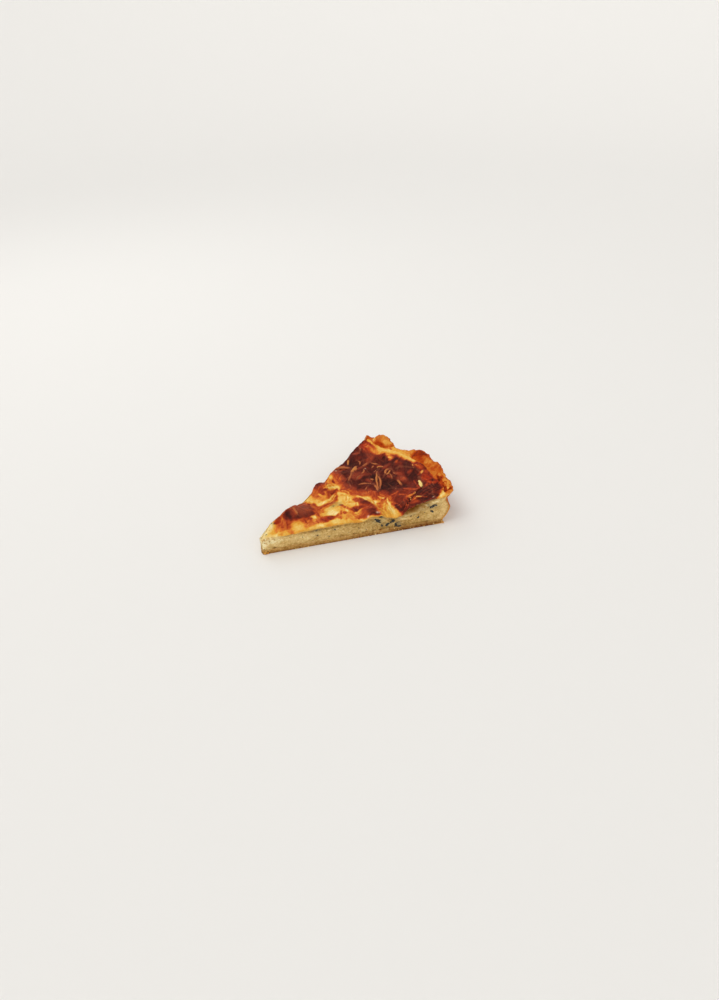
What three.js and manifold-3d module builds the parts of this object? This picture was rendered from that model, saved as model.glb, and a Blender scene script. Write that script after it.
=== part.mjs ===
// A wedge of quiche lorraine, about one eighth of a round pie 28 cm across: a shortcrust pastry case with a
// wavy, blistered rim, and the set egg and cheese filling that it holds, browned and lumpy on top.
import * as THREE from "three";
import { mergeVertices } from "three/addons/utils/BufferGeometryUtils.js";
import Module from "manifold-3d";

// Driving dimensions, in millimetres and degrees. Everything is worked out round the pie's centre, with
// +X along the wedge and the front cut on the -Y side.
const FRONT_CUT = -21.75;
const BACK_CUT = 20.2;
const PIE_CENTRE = [-79.4, 1.8]; // seen from the middle of the wedge's underside
const TIP_RADIUS = 4; // the knife and the lifting blunt the tip
const BASE_THICKNESS = 4.5;
const GAP = 0.3; // between the pastry and the filling
const RIM_HEIGHT = 29; // of the plain section below, before the rim's own rise and fall
const RIM_START = 15; // height from which the wall follows the rim's rise and lean
const RIM_LEAN = 1.6; // how late in that height the lean sets in

// The pastry's section, as radius and height from the tip to the crest: its underside and outer face,
// and its upper and inner face.
const OUTER_FACE = [
  [TIP_RADIUS, 0], [50, 0], [100, 0], [138, 0], [142.2, 0.9], [141.8, 4.2], [144.9, 9], [146.4, 14.5],
  [145.7, 20], [144.9, 24.2], [146, 27], [148.3, RIM_HEIGHT],
];
const INNER_FACE = [
  [TIP_RADIUS, BASE_THICKNESS], [50, BASE_THICKNESS], [100, BASE_THICKNESS], [128, BASE_THICKNESS],
  [134.5, 5.6], [137.6, 8.8], [138.8, 13], [139.3, 17.5], [140, 21.5], [141.4, 25], [143.6, 27.6],
  [146.4, RIM_HEIGHT + 0.3],
];

// The crest round the rim: angle, height and radius. It falls at the bare stretches, and rises at the
// curled lip and at the big blister.
const CREST = [
  [-21.75, 26.4, 145.4], [-20.6, 28.4, 149.0], [-19.2, 29.2, 150.2], [-17, 29.4, 151.0],
  [-14.6, 29.0, 150.8], [-12.5, 29.8, 152.0], [-10.6, 30.4, 153.4], [-8.2, 30.4, 154.4],
  [-5.6, 29.8, 153.4], [-3, 30.8, 155.0], [-0.3, 30.4, 155.2], [2.4, 28.4, 153.0],
  [4.6, 26.0, 150.2], [7, 25.2, 147.8], [9, 25.0, 147.2], [10.4, 27.2, 148.4],
  [12.4, 29.0, 149.2], [14.8, 29.6, 149.4], [16.4, 28.0, 149.4], [17.8, 25.0, 148.0],
  [19, 24.8, 147.2], [20.2, 26.6, 146.6],
];
// Blisters of the rim and its outer face: angle, height, half sizes in degrees and millimetres, and swell.
const BLISTERS = [
  { angle: 13.8, height: 26, wide: 2.6, high: 6, swell: 1.9 },
  { angle: -0.6, height: 24, wide: 2.2, high: 4, swell: 1.1 },
  { angle: -9.2, height: 27, wide: 1.5, high: 4, swell: 0.8 },
  { angle: -19.4, height: 27, wide: 1.3, high: 4, swell: 0.8 },
  { angle: 6.2, height: 19, wide: 3, high: 5, swell: 0.9 },
  { angle: -14.6, height: 15, wide: 3.4, high: 5, swell: 1.0 },
  { angle: -4.6, height: 12, wide: 2.4, high: 4, swell: 0.8 },
  { angle: 16.8, height: 13, wide: 2.8, high: 4, swell: 0.9 },
];

// Height of the filling over its radius: along the front cut, along the wedge's middle, and along the
// back cut. The lumps come on top of these.
const FRONT_TOP = [
  [4, 14.5], [20, 15.4], [50, 16.5], [70, 17], [80, 15.8], [89, 19.4], [95, 19], [100, 16.2], [106, 14.8],
  [111, 15.6], [118, 21.6], [123, 23.4], [130, 24.4], [137, 25.6], [146, 26.6],
];
const MIDDLE_TOP = [
  [4, 14.8], [20, 15.2], [60, 15.2], [78, 15.4], [92, 18], [112, 19.4], [126, 20.4], [134, 22], [139, 24.2],
  [146, 25.6],
];
const BACK_TOP = [
  [4, 14.2], [12, 16.8], [18.5, 19], [24, 18.6], [36, 19.5], [44.5, 18], [50, 15.1], [56, 13.6],
  [66, 14.6], [73, 19.3], [77, 19.5], [86, 15.5], [95, 19.5], [99, 19.2], [105, 17.6], [117, 18.2],
  [124, 21.4], [138, 23.4], [146, 24.4],
];
// Swellings of the top, browned where they stand high: middle, half sizes, turn in degrees, and height.
const LUMPS = [
  { x: 37, y: 5, long: 15, wide: 7, turn: 8, high: 3.2 }, // the dark mound near the tip
  { x: 71, y: 17, long: 8, wide: 7, turn: 25, high: 3.2 },
  { x: 92, y: 24, long: 9, wide: 7, turn: 15, high: 1.6 },
  { x: 124, y: 33, long: 10, wide: 9, turn: 20, high: 1.2 },
  { x: 83, y: -14, long: 9, wide: 5, turn: -35, high: 2.2 },
  { x: 84, y: -27, long: 8, wide: 4.5, turn: -20, high: 2.6 },
  { x: 54, y: -12, long: 6, wide: 3.5, turn: -8, high: 1.0 },
  { x: 112, y: -22, long: 13, wide: 8, turn: -24, high: 1.8 },
  { x: 121, y: -37, long: 14, wide: 6, turn: -24, high: 3 }, // the lifted skin by the front cut
  { x: 141, y: -10, long: 5, wide: 8, turn: 0, high: 1.8 },
  { x: 107, y: 22, long: 9, wide: 9, turn: 0, high: 1.4 },
  { x: 56, y: 10, long: 5, wide: 6, turn: 40, high: -1.4 }, // the pale hollows
  { x: 60, y: -6, long: 8, wide: 4, turn: 20, high: -1.0 },
  { x: 78, y: 3, long: 4.5, wide: 12, turn: 0, high: -1.6 },
  { x: 97, y: -26, long: 4.5, wide: 9, turn: 10, high: -2.0 },
  { x: 131, y: 17, long: 5, wide: 6, turn: 0, high: -1.2 },
  { x: 22, y: -5, long: 10, wide: 4, turn: -20, high: -0.6 },
];
// The front cut under the lifted skin: an air pocket opens in it, and the skin itself hangs over it.
// Distance along the cut, drop below the top, half sizes and depth, where a negative depth stands out.
const CUT_DENTS = [
  { along: 118, drop: 3.6, long: 8, high: 1.9, deep: 4.8 },
  { along: 104, drop: 3.2, long: 8, high: 1.6, deep: 1.6 },
  { along: 117, drop: 0.6, long: 17, high: 1.7, deep: -1.5 },
  { along: 89, drop: 1, long: 7, high: 2.4, deep: -1.1 },
];

// Strands of grated cheese baked on top: middle, length, turn in degrees, and bend as a share of length.
const STRAND_WIDTH = 1.7;
const STRAND_HEIGHT = 1.1;
const STRANDS = [
  { x: 112, y: 2.5, length: 24, turn: 52, bend: 0.06 }, { x: 120, y: 4, length: 11, turn: 40, bend: 0.1 },
  { x: 126, y: 3, length: 9, turn: -70, bend: 0.1 }, { x: 106, y: 36, length: 9, turn: 52, bend: 0.05 },
  { x: 98, y: 22, length: 18, turn: 40, bend: 0.14 }, { x: 102, y: 2, length: 15, turn: -55, bend: 0.2 },
  { x: 133.5, y: -4, length: 11, turn: -52, bend: 0.1 }, { x: 122, y: -11, length: 8, turn: 72, bend: 0.1 },
  { x: 132, y: -25.5, length: 11, turn: 66, bend: 0.08 }, { x: 93, y: 27, length: 13, turn: -8, bend: 0.12 },
  { x: 66, y: -10.5, length: 11, turn: 55, bend: 0.08 }, { x: 38, y: 8.5, length: 12, turn: 88, bend: 0.04 },
  { x: 99.5, y: -25, length: 8, turn: 70, bend: 0.1 }, { x: 133, y: 14, length: 7, turn: -75, bend: 0.1 },
];
const LOOSE_STRANDS = 22; // more of them, scattered over the dark plateau
const LOOSE_AREA = { x: 112, y: 4, long: 25, wide: 33 };
const SEED = 4;

// How the solids are divided and joined.
const PASTRY_STEPS = 54; // round the pie
const BASE_STATIONS = [0, 0.1, 0.2, 0.27, 0.32]; // shares along the section, close together up the wall
const WALL_STATIONS = Array.from({ length: 20 }, (_, i) => 0.36 + (0.64 * i) / 19);
const FILLING_STEPS = [48, 36, 7]; // outward, round the pie and upward
const OVERREACH = 1; // how far the filling runs into the pastry before it is cut
const PAST_THE_CUT = 1.06; // how much wider than the wedge the shape that cuts it is
const SPARED = 0.1; // triangles are saved where the surface stays within this of its true place

const COLOURS = {
  pastry: { color: 0xd98f45, roughness: 0.8 },
  filling: { color: 0xb9632b, roughness: 0.55 },
};

const rad = THREE.MathUtils.degToRad;

function mulberry(seed) {
  let state = seed;
  return () => {
    state = (state + 0x6d2b79f5) | 0;
    let t = Math.imul(state ^ (state >>> 15), 1 | state);
    t = (t + Math.imul(t ^ (t >>> 7), 61 | t)) ^ t;
    return ((t ^ (t >>> 14)) >>> 0) / 4294967296;
  };
}

// A value read from rows of [x, value, ...] that rise in x, eased between them.
function read(rows, x, column = 1) {
  const last = rows.length - 1;
  if (x <= rows[0][0]) return rows[0][column];
  if (x >= rows[last][0]) return rows[last][column];
  const i = rows.findIndex((row) => row[0] > x) - 1;
  const share = (x - rows[i][0]) / (rows[i + 1][0] - rows[i][0]);
  return THREE.MathUtils.lerp(rows[i][column], rows[i + 1][column], THREE.MathUtils.smoothstep(share, 0, 1));
}

// A rounded hill: 1 at its middle, and near 0 from two spreads out.
function hill(a, b) {
  return Math.exp(-(a * a + b * b));
}

// One lump's share at a point, 1 at its middle.
function lumpShare(lump, x, y) {
  const turn = rad(lump.turn);
  const along = (x - lump.x) * Math.cos(turn) + (y - lump.y) * Math.sin(turn);
  const across = (y - lump.y) * Math.cos(turn) - (x - lump.x) * Math.sin(turn);
  return hill(along / lump.long, across / lump.wide);
}

function topHeight(x, y) {
  const radius = Math.hypot(x, y);
  const angle = Math.atan2(y, x);
  const aside = THREE.MathUtils.clamp(angle / rad(angle < 0 ? -FRONT_CUT : BACK_CUT), -1, 1);
  const edge = read(aside < 0 ? FRONT_TOP : BACK_TOP, radius);
  const ripple = 0.3 * Math.sin(0.31 * x + 0.2 * y) * Math.sin(0.13 * x - 0.37 * y);
  const lumps = LUMPS.reduce((sum, lump) => sum + lump.high * lumpShare(lump, x, y), 0);
  const outward = THREE.MathUtils.smoothstep(Math.abs(aside), 0.25, 1);
  const plain = THREE.MathUtils.lerp(read(MIDDLE_TOP, radius), edge, outward);
  return plain + (lumps + ripple) * (1 - outward / 2);
}

// The closed surface of a block bent into shape: place(u, v, w) gives its point for shares of its three
// sides, and the stations are the shares at which each side is divided.
function bentBlock(uStations, vStations, wStations, place) {
  const [nu, nv, nw] = [uStations, vStations, wStations].map((list) => list.length - 1);
  const geometry = new THREE.BoxGeometry(1, 1, 1, nu, nv, nw);
  geometry.deleteAttribute("normal");
  geometry.deleteAttribute("uv");
  const position = geometry.getAttribute("position");
  for (let i = 0; i < position.count; i++) {
    const u = uStations[Math.round((position.getX(i) + 0.5) * nu)];
    const v = vStations[Math.round((position.getY(i) + 0.5) * nv)];
    const w = wStations[Math.round((position.getZ(i) + 0.5) * nw)];
    position.setXYZ(i, ...place(u, v, w));
  }
  return mergeVertices(geometry, 1e-5);
}

function evenStations(count) {
  return Array.from({ length: count + 1 }, (_, i) => i / count);
}

function faceCurve(points) {
  return new THREE.SplineCurve(points.map(([radius, height]) => new THREE.Vector2(radius, height)));
}

const outerCurve = faceCurve(OUTER_FACE);
const innerCurve = faceCurve(INNER_FACE);

// How far the blisters swell a face of the pastry.
function blisterSwell(angle, height) {
  return BLISTERS.reduce((sum, { angle: at, height: level, wide, high, swell }) => {
    return sum + swell * hill((angle - at) / wide, (height - level) / high);
  }, 0);
}

// The pastry's section at a share along it and across it, with the rim's own rise, lean and blisters.
function pastrySection(along, across, angle) {
  const outer = outerCurve.getPoint(along);
  outer.y = Math.max(0, outer.y);
  const inner = innerCurve.getPoint(along);
  const point = outer.clone().lerp(inner, across);
  const climb = THREE.MathUtils.smoothstep(point.y, RIM_START, RIM_HEIGHT);
  point.x += (read(CREST, angle, 2) - OUTER_FACE.at(-1)[0]) * climb ** RIM_LEAN;
  point.x += blisterSwell(angle, point.y) * (1 - across * (1 + climb)) * (point.y > 0);
  point.y += (read(CREST, angle, 1) - RIM_HEIGHT) * climb;
  return point;
}

// Small waves of the pastry's outer face, as it was pressed into the tin by hand.
function pressedWave(angle, height) {
  const share = THREE.MathUtils.smoothstep(height, 1, 8);
  return share * (0.3 * Math.sin(rad(angle) * 43) + 0.15 * Math.sin(rad(angle) * 97 + height * 0.4));
}

function angleAt(v) {
  return THREE.MathUtils.lerp(FRONT_CUT, BACK_CUT, v);
}

function roundPie(radius, angle) {
  return [radius * Math.cos(rad(angle)), radius * Math.sin(rad(angle))];
}

// The pastry case. With a margin, its upper and inner face stands out by that much and it runs on past
// both cuts: that shape cuts the filling's own outside.
function pastryCase(margin = 0) {
  const angleStations = evenStations(PASTRY_STEPS);
  return bentBlock([...BASE_STATIONS, ...WALL_STATIONS], angleStations, evenStations(2), (u, v, w) => {
    const angle = angleAt(v) * (margin > 0 ? PAST_THE_CUT : 1);
    const point = pastrySection(u, w, angle);
    const radius = point.x + pressedWave(angle, point.y) * (1 - w) - margin * w;
    return [...roundPie(radius, angle), point.y + margin * w];
  });
}

// The radius of the pastry's inner face at a height, found between the points of its section.
function innerRadius(height, angle) {
  const wall = WALL_STATIONS.map((along) => pastrySection(along, 1, angle));
  const above = wall.findIndex((point) => point.y > height);
  if (above < 1) return wall[above < 0 ? wall.length - 1 : 0].x;
  const [low, high] = [wall[above - 1], wall[above]];
  return THREE.MathUtils.mapLinear(height, low.y, high.y, low.x, high.x);
}

// How far the front cut stands back at a place on it.
function cutDent(along, drop) {
  return CUT_DENTS.reduce((sum, dent) => {
    return sum + dent.deep * hill((along - dent.along) / dent.long, (drop - dent.drop) / dent.high);
  }, 0);
}

// The filling before the pastry's shape is cut from it: it runs on a little into the pastry.
function filling() {
  const [outward, round, upward] = FILLING_STEPS.map(evenStations);
  return bentBlock(outward, round, upward, (u, v, w) => {
    const angle = angleAt(v);
    const reach = (level) => THREE.MathUtils.lerp(TIP_RADIUS, innerRadius(level, angle) + OVERREACH, u);
    const [topX, topY] = roundPie(reach(FRONT_TOP.at(-1)[1]), angle);
    const top = topHeight(topX, topY);
    const height = THREE.MathUtils.lerp(BASE_THICKNESS - OVERREACH, top, w);
    const [x, y] = roundPie(reach(height), angle);
    const dent = v === 0 ? cutDent(reach(height), top - height) : 0;
    return [x - dent * Math.sin(rad(FRONT_CUT)), y + dent * Math.cos(rad(FRONT_CUT)), height];
  });
}

// A strand of cheese: a flattened tube that follows the top, half sunk in it.
function strand({ x, y, length, turn, bend }) {
  const heading = rad(turn);
  const stops = [-0.5, -0.25, 0, 0.25, 0.5].map((share) => {
    const side = bend * length * (1 - 4 * share * share);
    const px = x + share * length * Math.cos(heading) - side * Math.sin(heading);
    const py = y + share * length * Math.sin(heading) + side * Math.cos(heading);
    return new THREE.Vector3(px, py, topHeight(px, py) + 0.1);
  });
  const section = new THREE.Shape();
  section.absellipse(0, 0, STRAND_HEIGHT, STRAND_WIDTH / 2, 0, Math.PI * 2);
  const geometry = new THREE.ExtrudeGeometry(section, {
    steps: 6,
    curveSegments: 3,
    bevelEnabled: false,
    extrudePath: new THREE.CatmullRomCurve3(stops),
  });
  geometry.deleteAttribute("normal");
  geometry.deleteAttribute("uv");
  return mergeVertices(geometry, 1e-4);
}

function scatteredStrands() {
  const draw = mulberry(SEED);
  return Array.from({ length: LOOSE_STRANDS }, () => {
    const distance = Math.sqrt(draw());
    const around = draw() * Math.PI * 2;
    return {
      x: LOOSE_AREA.x + LOOSE_AREA.long * distance * Math.cos(around),
      y: LOOSE_AREA.y + LOOSE_AREA.wide * distance * Math.sin(around),
      length: 6 + 7 * draw(),
      turn: 180 * draw(),
      bend: 0.3 * (draw() - 0.5),
    };
  }).filter(({ x, y, length }) => {
    return Math.abs(Math.atan2(y, x)) < rad(BACK_CUT) - length / 2 / Math.hypot(x, y);
  });
}

const wasm = await Module();
wasm.setup();

function solidOf(geometry) {
  const vertProperties = new Float32Array(geometry.getAttribute("position").array);
  const triVerts = new Uint32Array(geometry.index.array);
  return new wasm.Manifold(new wasm.Mesh({ numProp: 3, vertProperties, triVerts }));
}

function geometryOf(solid) {
  const { vertProperties, triVerts } = solid.getMesh();
  const geometry = new THREE.BufferGeometry();
  geometry.setAttribute("position", new THREE.BufferAttribute(vertProperties, 3));
  geometry.setIndex(new THREE.BufferAttribute(triVerts, 1));
  return geometry;
}

// The filling with its strands joined on. Where a strand bridges a dimple it shuts in a speck of air; only
// the outer shell is kept, so that speck is filled.
function strewnFilling() {
  const strands = [...STRANDS, ...scatteredStrands()].map(strand).map(solidOf);
  const strewn = strands.reduce((whole, strip) => whole.add(strip), solidOf(filling()));
  const shells = strewn.subtract(solidOf(pastryCase(GAP))).decompose();
  shells.sort((a, b) => b.volume() - a.volume());
  return geometryOf(shells[0].simplify(SPARED));
}

function piece(name, geometry, { color, roughness }) {
  const material = new THREE.MeshStandardMaterial({ color, roughness, metalness: 0 });
  const mesh = new THREE.Mesh(geometry, material);
  mesh.name = name;
  return mesh;
}

const quiche = new THREE.Group();
const pastry = solidOf(pastryCase()).simplify(SPARED / 4);
quiche.add(piece("pastry_case", geometryOf(pastry), COLOURS.pastry));
quiche.add(piece("egg_filling", strewnFilling(), COLOURS.filling));
for (const mesh of quiche.children) mesh.position.set(...PIE_CENTRE, 0);

export default quiche;
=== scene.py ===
"""Looks of a wedge of quiche lorraine: browned egg filling with cheese strands, in a shortcrust case."""

import math

import bpy
import numpy as np
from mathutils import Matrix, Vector


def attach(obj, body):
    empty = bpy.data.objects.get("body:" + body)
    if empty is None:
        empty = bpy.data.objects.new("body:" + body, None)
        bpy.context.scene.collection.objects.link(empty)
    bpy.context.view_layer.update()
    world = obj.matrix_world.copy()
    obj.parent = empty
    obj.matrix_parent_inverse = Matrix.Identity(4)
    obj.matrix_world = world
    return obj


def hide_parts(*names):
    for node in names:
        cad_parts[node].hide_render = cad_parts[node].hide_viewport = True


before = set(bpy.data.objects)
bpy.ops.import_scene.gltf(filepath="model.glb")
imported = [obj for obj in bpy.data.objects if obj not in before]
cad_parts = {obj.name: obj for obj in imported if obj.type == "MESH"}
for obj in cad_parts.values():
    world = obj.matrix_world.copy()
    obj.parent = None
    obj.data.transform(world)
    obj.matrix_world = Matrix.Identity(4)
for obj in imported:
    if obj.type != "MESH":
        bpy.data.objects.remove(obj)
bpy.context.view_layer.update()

MM = 0.001
SEED = 11
PIE_CENTRE = np.array([-79.4, 1.8, 0.0])  # the pie's centre, from the middle of the wedge's underside
# How fine the meshes are, in steps or in sides.
OUT_STEPS, ROUND_STEPS, UP_STEPS = 290, 210, 32
BASE_STEPS, WALL_STEPS, RIM_STEPS, RIM_ROUND_STEPS = 230, 110, 11, 270
BASE_SHARE = 0.34  # share of the pastry's section, by its rows, that is base
STRAND_STEPS, STRAND_SIDES, LEEK_STEPS, SPECK_STEPS, LEEK_SIDES = 26, 10, 9, 7, 8
LUMP_RINGS, LUMP_SIDES = 6, 8
FLOOR_SIDES, SWEEP_RINGS = 96, 25
CURVE_SAMPLES, WALL_SAMPLES = 200, 80

# Colours along each piece's browning, or along its crumb from dark to pale.
SKIN_COLOURS = [
    (0.0, "EDD9A2"), (0.12, "E2C06A"), (0.26, "DB9F3A"), (0.4, "CD6F28"), (0.54, "AA4119"), (0.68, "7F2813"),
    (0.84, "531A11"), (1.0, "2B100C"),
]
EGG_CRUMB_COLOURS = [(0.0, "7E5A28"), (0.25, "AA8446"), (0.5, "CDA968"), (0.75, "E2C68A"), (1.0, "F6E8B8")]
CRUST_COLOURS = [
    (0.0, "EFD9A0"), (0.2, "E0AE50"), (0.4, "CE8230"), (0.6, "B85612"), (0.8, "A13200"), (1.0, "5A1A02"),
]
PASTRY_CRUMB_COLOURS = [
    (0.0, "6E4A20"), (0.25, "94682F"), (0.5, "BC9050"), (0.75, "DDBB7C"), (1.0, "F2DDA6"),
]
STRAND_COLOURS = [
    (0.0, "F1E1A6"), (0.14, "E8C874"), (0.3, "DDA04A"), (0.5, "B4683A"), (0.66, "85402A"), (1.0, "3A1614"),
]
LEEK_COLOURS = [(0.3, "161511"), (0.6, "2B2B24"), (0.8, "5C5D4C")]
GLASSY_RED, FILM_AND_SHEEN, PAINTED_GLINT = "B02E08", "8C4C34", "EBC8AA"
HERB_ON_SKIN, HERB_AND_SHADE_IN_CRUMB, EGG_SHADE, PASTRY_SHADE = "8E7A44", "7E7A62", "8A5518", "6E3A10"
FLOOR_COLOUR = (0.78, 0.77, 0.75, 1)
SKY_COLOUR, SKY_STRENGTH = (1.0, 0.99, 0.975, 1), 0.62

# The photo's camera, in millimetres from the middle of the wedge's underside.
CAMERA_PLACE, CAMERA_AIM, LENS = (-203.03, -287.14, 288.16), (0.4715, 0.6337, -0.6133), 20.88
FARTHER = (0.77, 1.03)  # how far behind a raised place the photo shows it, for each millimetre of rise
# Soft lights that face the wedge: kind, name, place in metres, strength and settings.
LAMPS = [
    ("SUN", "daylight", (-0.5, 0.1, 0.9), 1.05, {"angle": math.radians(40), "color": (1.0, 0.985, 0.96)}),
    ("SUN", "front_fill", (-0.5, -0.9, 0.6), 0.85, {"angle": math.radians(60), "color": (1.0, 0.99, 0.97)}),
    ("AREA", "window", (-0.1, 0.75, 0.8), 1.2, {"size": 0.5, "color": (1.0, 0.99, 0.97)}),
]

# The solid's own sizes, in millimetres and degrees, round the pie's centre: +X runs along the wedge and
# the front cut is on the -Y side.
FRONT_CUT, BACK_CUT = -21.75, 20.2
TIP_RADIUS = 4.0
BASE_THICKNESS = 4.5
FOOT = BASE_THICKNESS - 0.1  # the filling's foot, just inside the base
CUT_IN = 0.6  # how far the filling runs on into the pastry
RIM_HEIGHT = 29.0
RIM_START, RIM_LEAN = 15.0, 1.6  # the height where the rim begins to follow its crest, and how late it does
FLUTES = [(43, 0.0, 0.3), (97, 0.4, 0.15)]  # faint flutes of the tin: number a turn, slant and depth
# The pastry's outer and inner face without its waves: radius and height.
OUTER_FACE = [
    (TIP_RADIUS, 0), (50, 0), (100, 0), (138, 0), (142.2, 0.9), (141.8, 4.2), (144.9, 9), (146.4, 14.5),
    (145.7, 20), (144.9, 24.2), (146, 27), (148.3, RIM_HEIGHT),
]
INNER_FACE = [
    (TIP_RADIUS, BASE_THICKNESS), (50, BASE_THICKNESS), (100, BASE_THICKNESS), (128, BASE_THICKNESS),
    (134.5, 5.6), (137.6, 8.8), (138.8, 13), (139.3, 17.5), (140, 21.5), (141.4, 25), (143.6, 27.6),
    (146.4, RIM_HEIGHT + 0.3),
]
# The rim's crest: angle, height and radius.
CREST = [
    (-21.75, 26.4, 145.4), (-20.6, 28.4, 149.0), (-19.2, 29.2, 150.2), (-17, 29.4, 151.0),
    (-14.6, 29.0, 150.8), (-12.5, 29.8, 152.0), (-10.6, 30.4, 153.4), (-8.2, 30.4, 154.4),
    (-5.6, 29.8, 153.4), (-3, 30.8, 155.0), (-0.3, 30.4, 155.2), (2.4, 28.4, 153.0),
    (4.6, 26.0, 150.2), (7, 25.2, 147.8), (9, 25.0, 147.2), (10.4, 27.2, 148.4),
    (12.4, 29.0, 149.2), (14.8, 29.6, 149.4), (16.4, 28.0, 149.4), (17.8, 25.0, 148.0),
    (19, 24.8, 147.2), (20.2, 26.6, 146.6),
]
# Swellings of the rim's outer side: angle and height, half sizes, and how far each stands out.
BLISTERS = [
    (13.8, 26, 2.6, 6, 1.9), (-0.6, 24, 2.2, 4, 1.1), (-9.2, 27, 1.5, 4, 0.8), (-19.4, 27, 1.3, 4, 0.8),
    (6.2, 19, 3, 5, 0.9), (-14.6, 15, 3.4, 5, 1.0), (-4.6, 12, 2.4, 4, 0.8), (16.8, 13, 2.8, 4, 0.9),
]
# The filling's top at the front cut, in the middle and at the back cut: distance along it and height.
FRONT_TOP = [
    (4, 14.5), (20, 15.4), (50, 16.5), (70, 17), (80, 15.8), (89, 19.4), (95, 19), (100, 16.2),
    (106, 14.8), (111, 15.6), (118, 21.6), (123, 23.4), (130, 24.4), (137, 25.6), (146, 26.6),
]
MIDDLE_TOP = [
    (4, 14.8), (20, 15.2), (60, 15.2), (78, 15.4), (92, 18), (112, 19.4), (126, 20.4), (134, 22),
    (139, 24.2), (146, 25.6),
]
BACK_TOP = [
    (4, 14.2), (12, 16.8), (18.5, 19), (24, 18.6), (36, 19.5), (44.5, 18), (50, 15.1), (56, 13.6),
    (66, 14.6), (73, 19.3), (77, 19.5), (86, 15.5), (95, 19.5), (99, 19.2), (105, 17.6), (117, 18.2),
    (124, 21.4), (138, 23.4), (146, 24.4),
]
# Mounds and hollows of the top: x, y, half length, half width, turn and height.
LUMPS = [
    (37, 5, 15, 7, 8, 3.2), (71, 17, 8, 7, 25, 3.2), (92, 24, 9, 7, 15, 1.6), (124, 33, 10, 9, 20, 1.2),
    (83, -14, 9, 5, -35, 2.2), (84, -27, 8, 4.5, -20, 2.6), (54, -12, 6, 3.5, -8, 1.0),
    (112, -22, 13, 8, -24, 1.8), (121, -37, 14, 6, -24, 3), (141, -10, 5, 8, 0, 1.8),
    (107, 22, 9, 9, 0, 1.4), (56, 10, 5, 6, 40, -1.4), (60, -6, 8, 4, 20, -1.0), (78, 3, 4.5, 12, 0, -1.6),
    (97, -26, 4.5, 9, 10, -2.0), (131, 17, 5, 6, 0, -1.2), (22, -5, 10, 4, -20, -0.6),
]
# Where the front cut stands back under the lifted skin: distance, drop below the top, half sizes and depth.
CUT_DENTS = [
    (118, 3.6, 8, 1.9, 4.8), (104, 3.2, 8, 1.6, 1.6), (117, 0.6, 17, 1.7, -1.5), (89, 1, 7, 2.4, -1.1),
]

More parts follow.
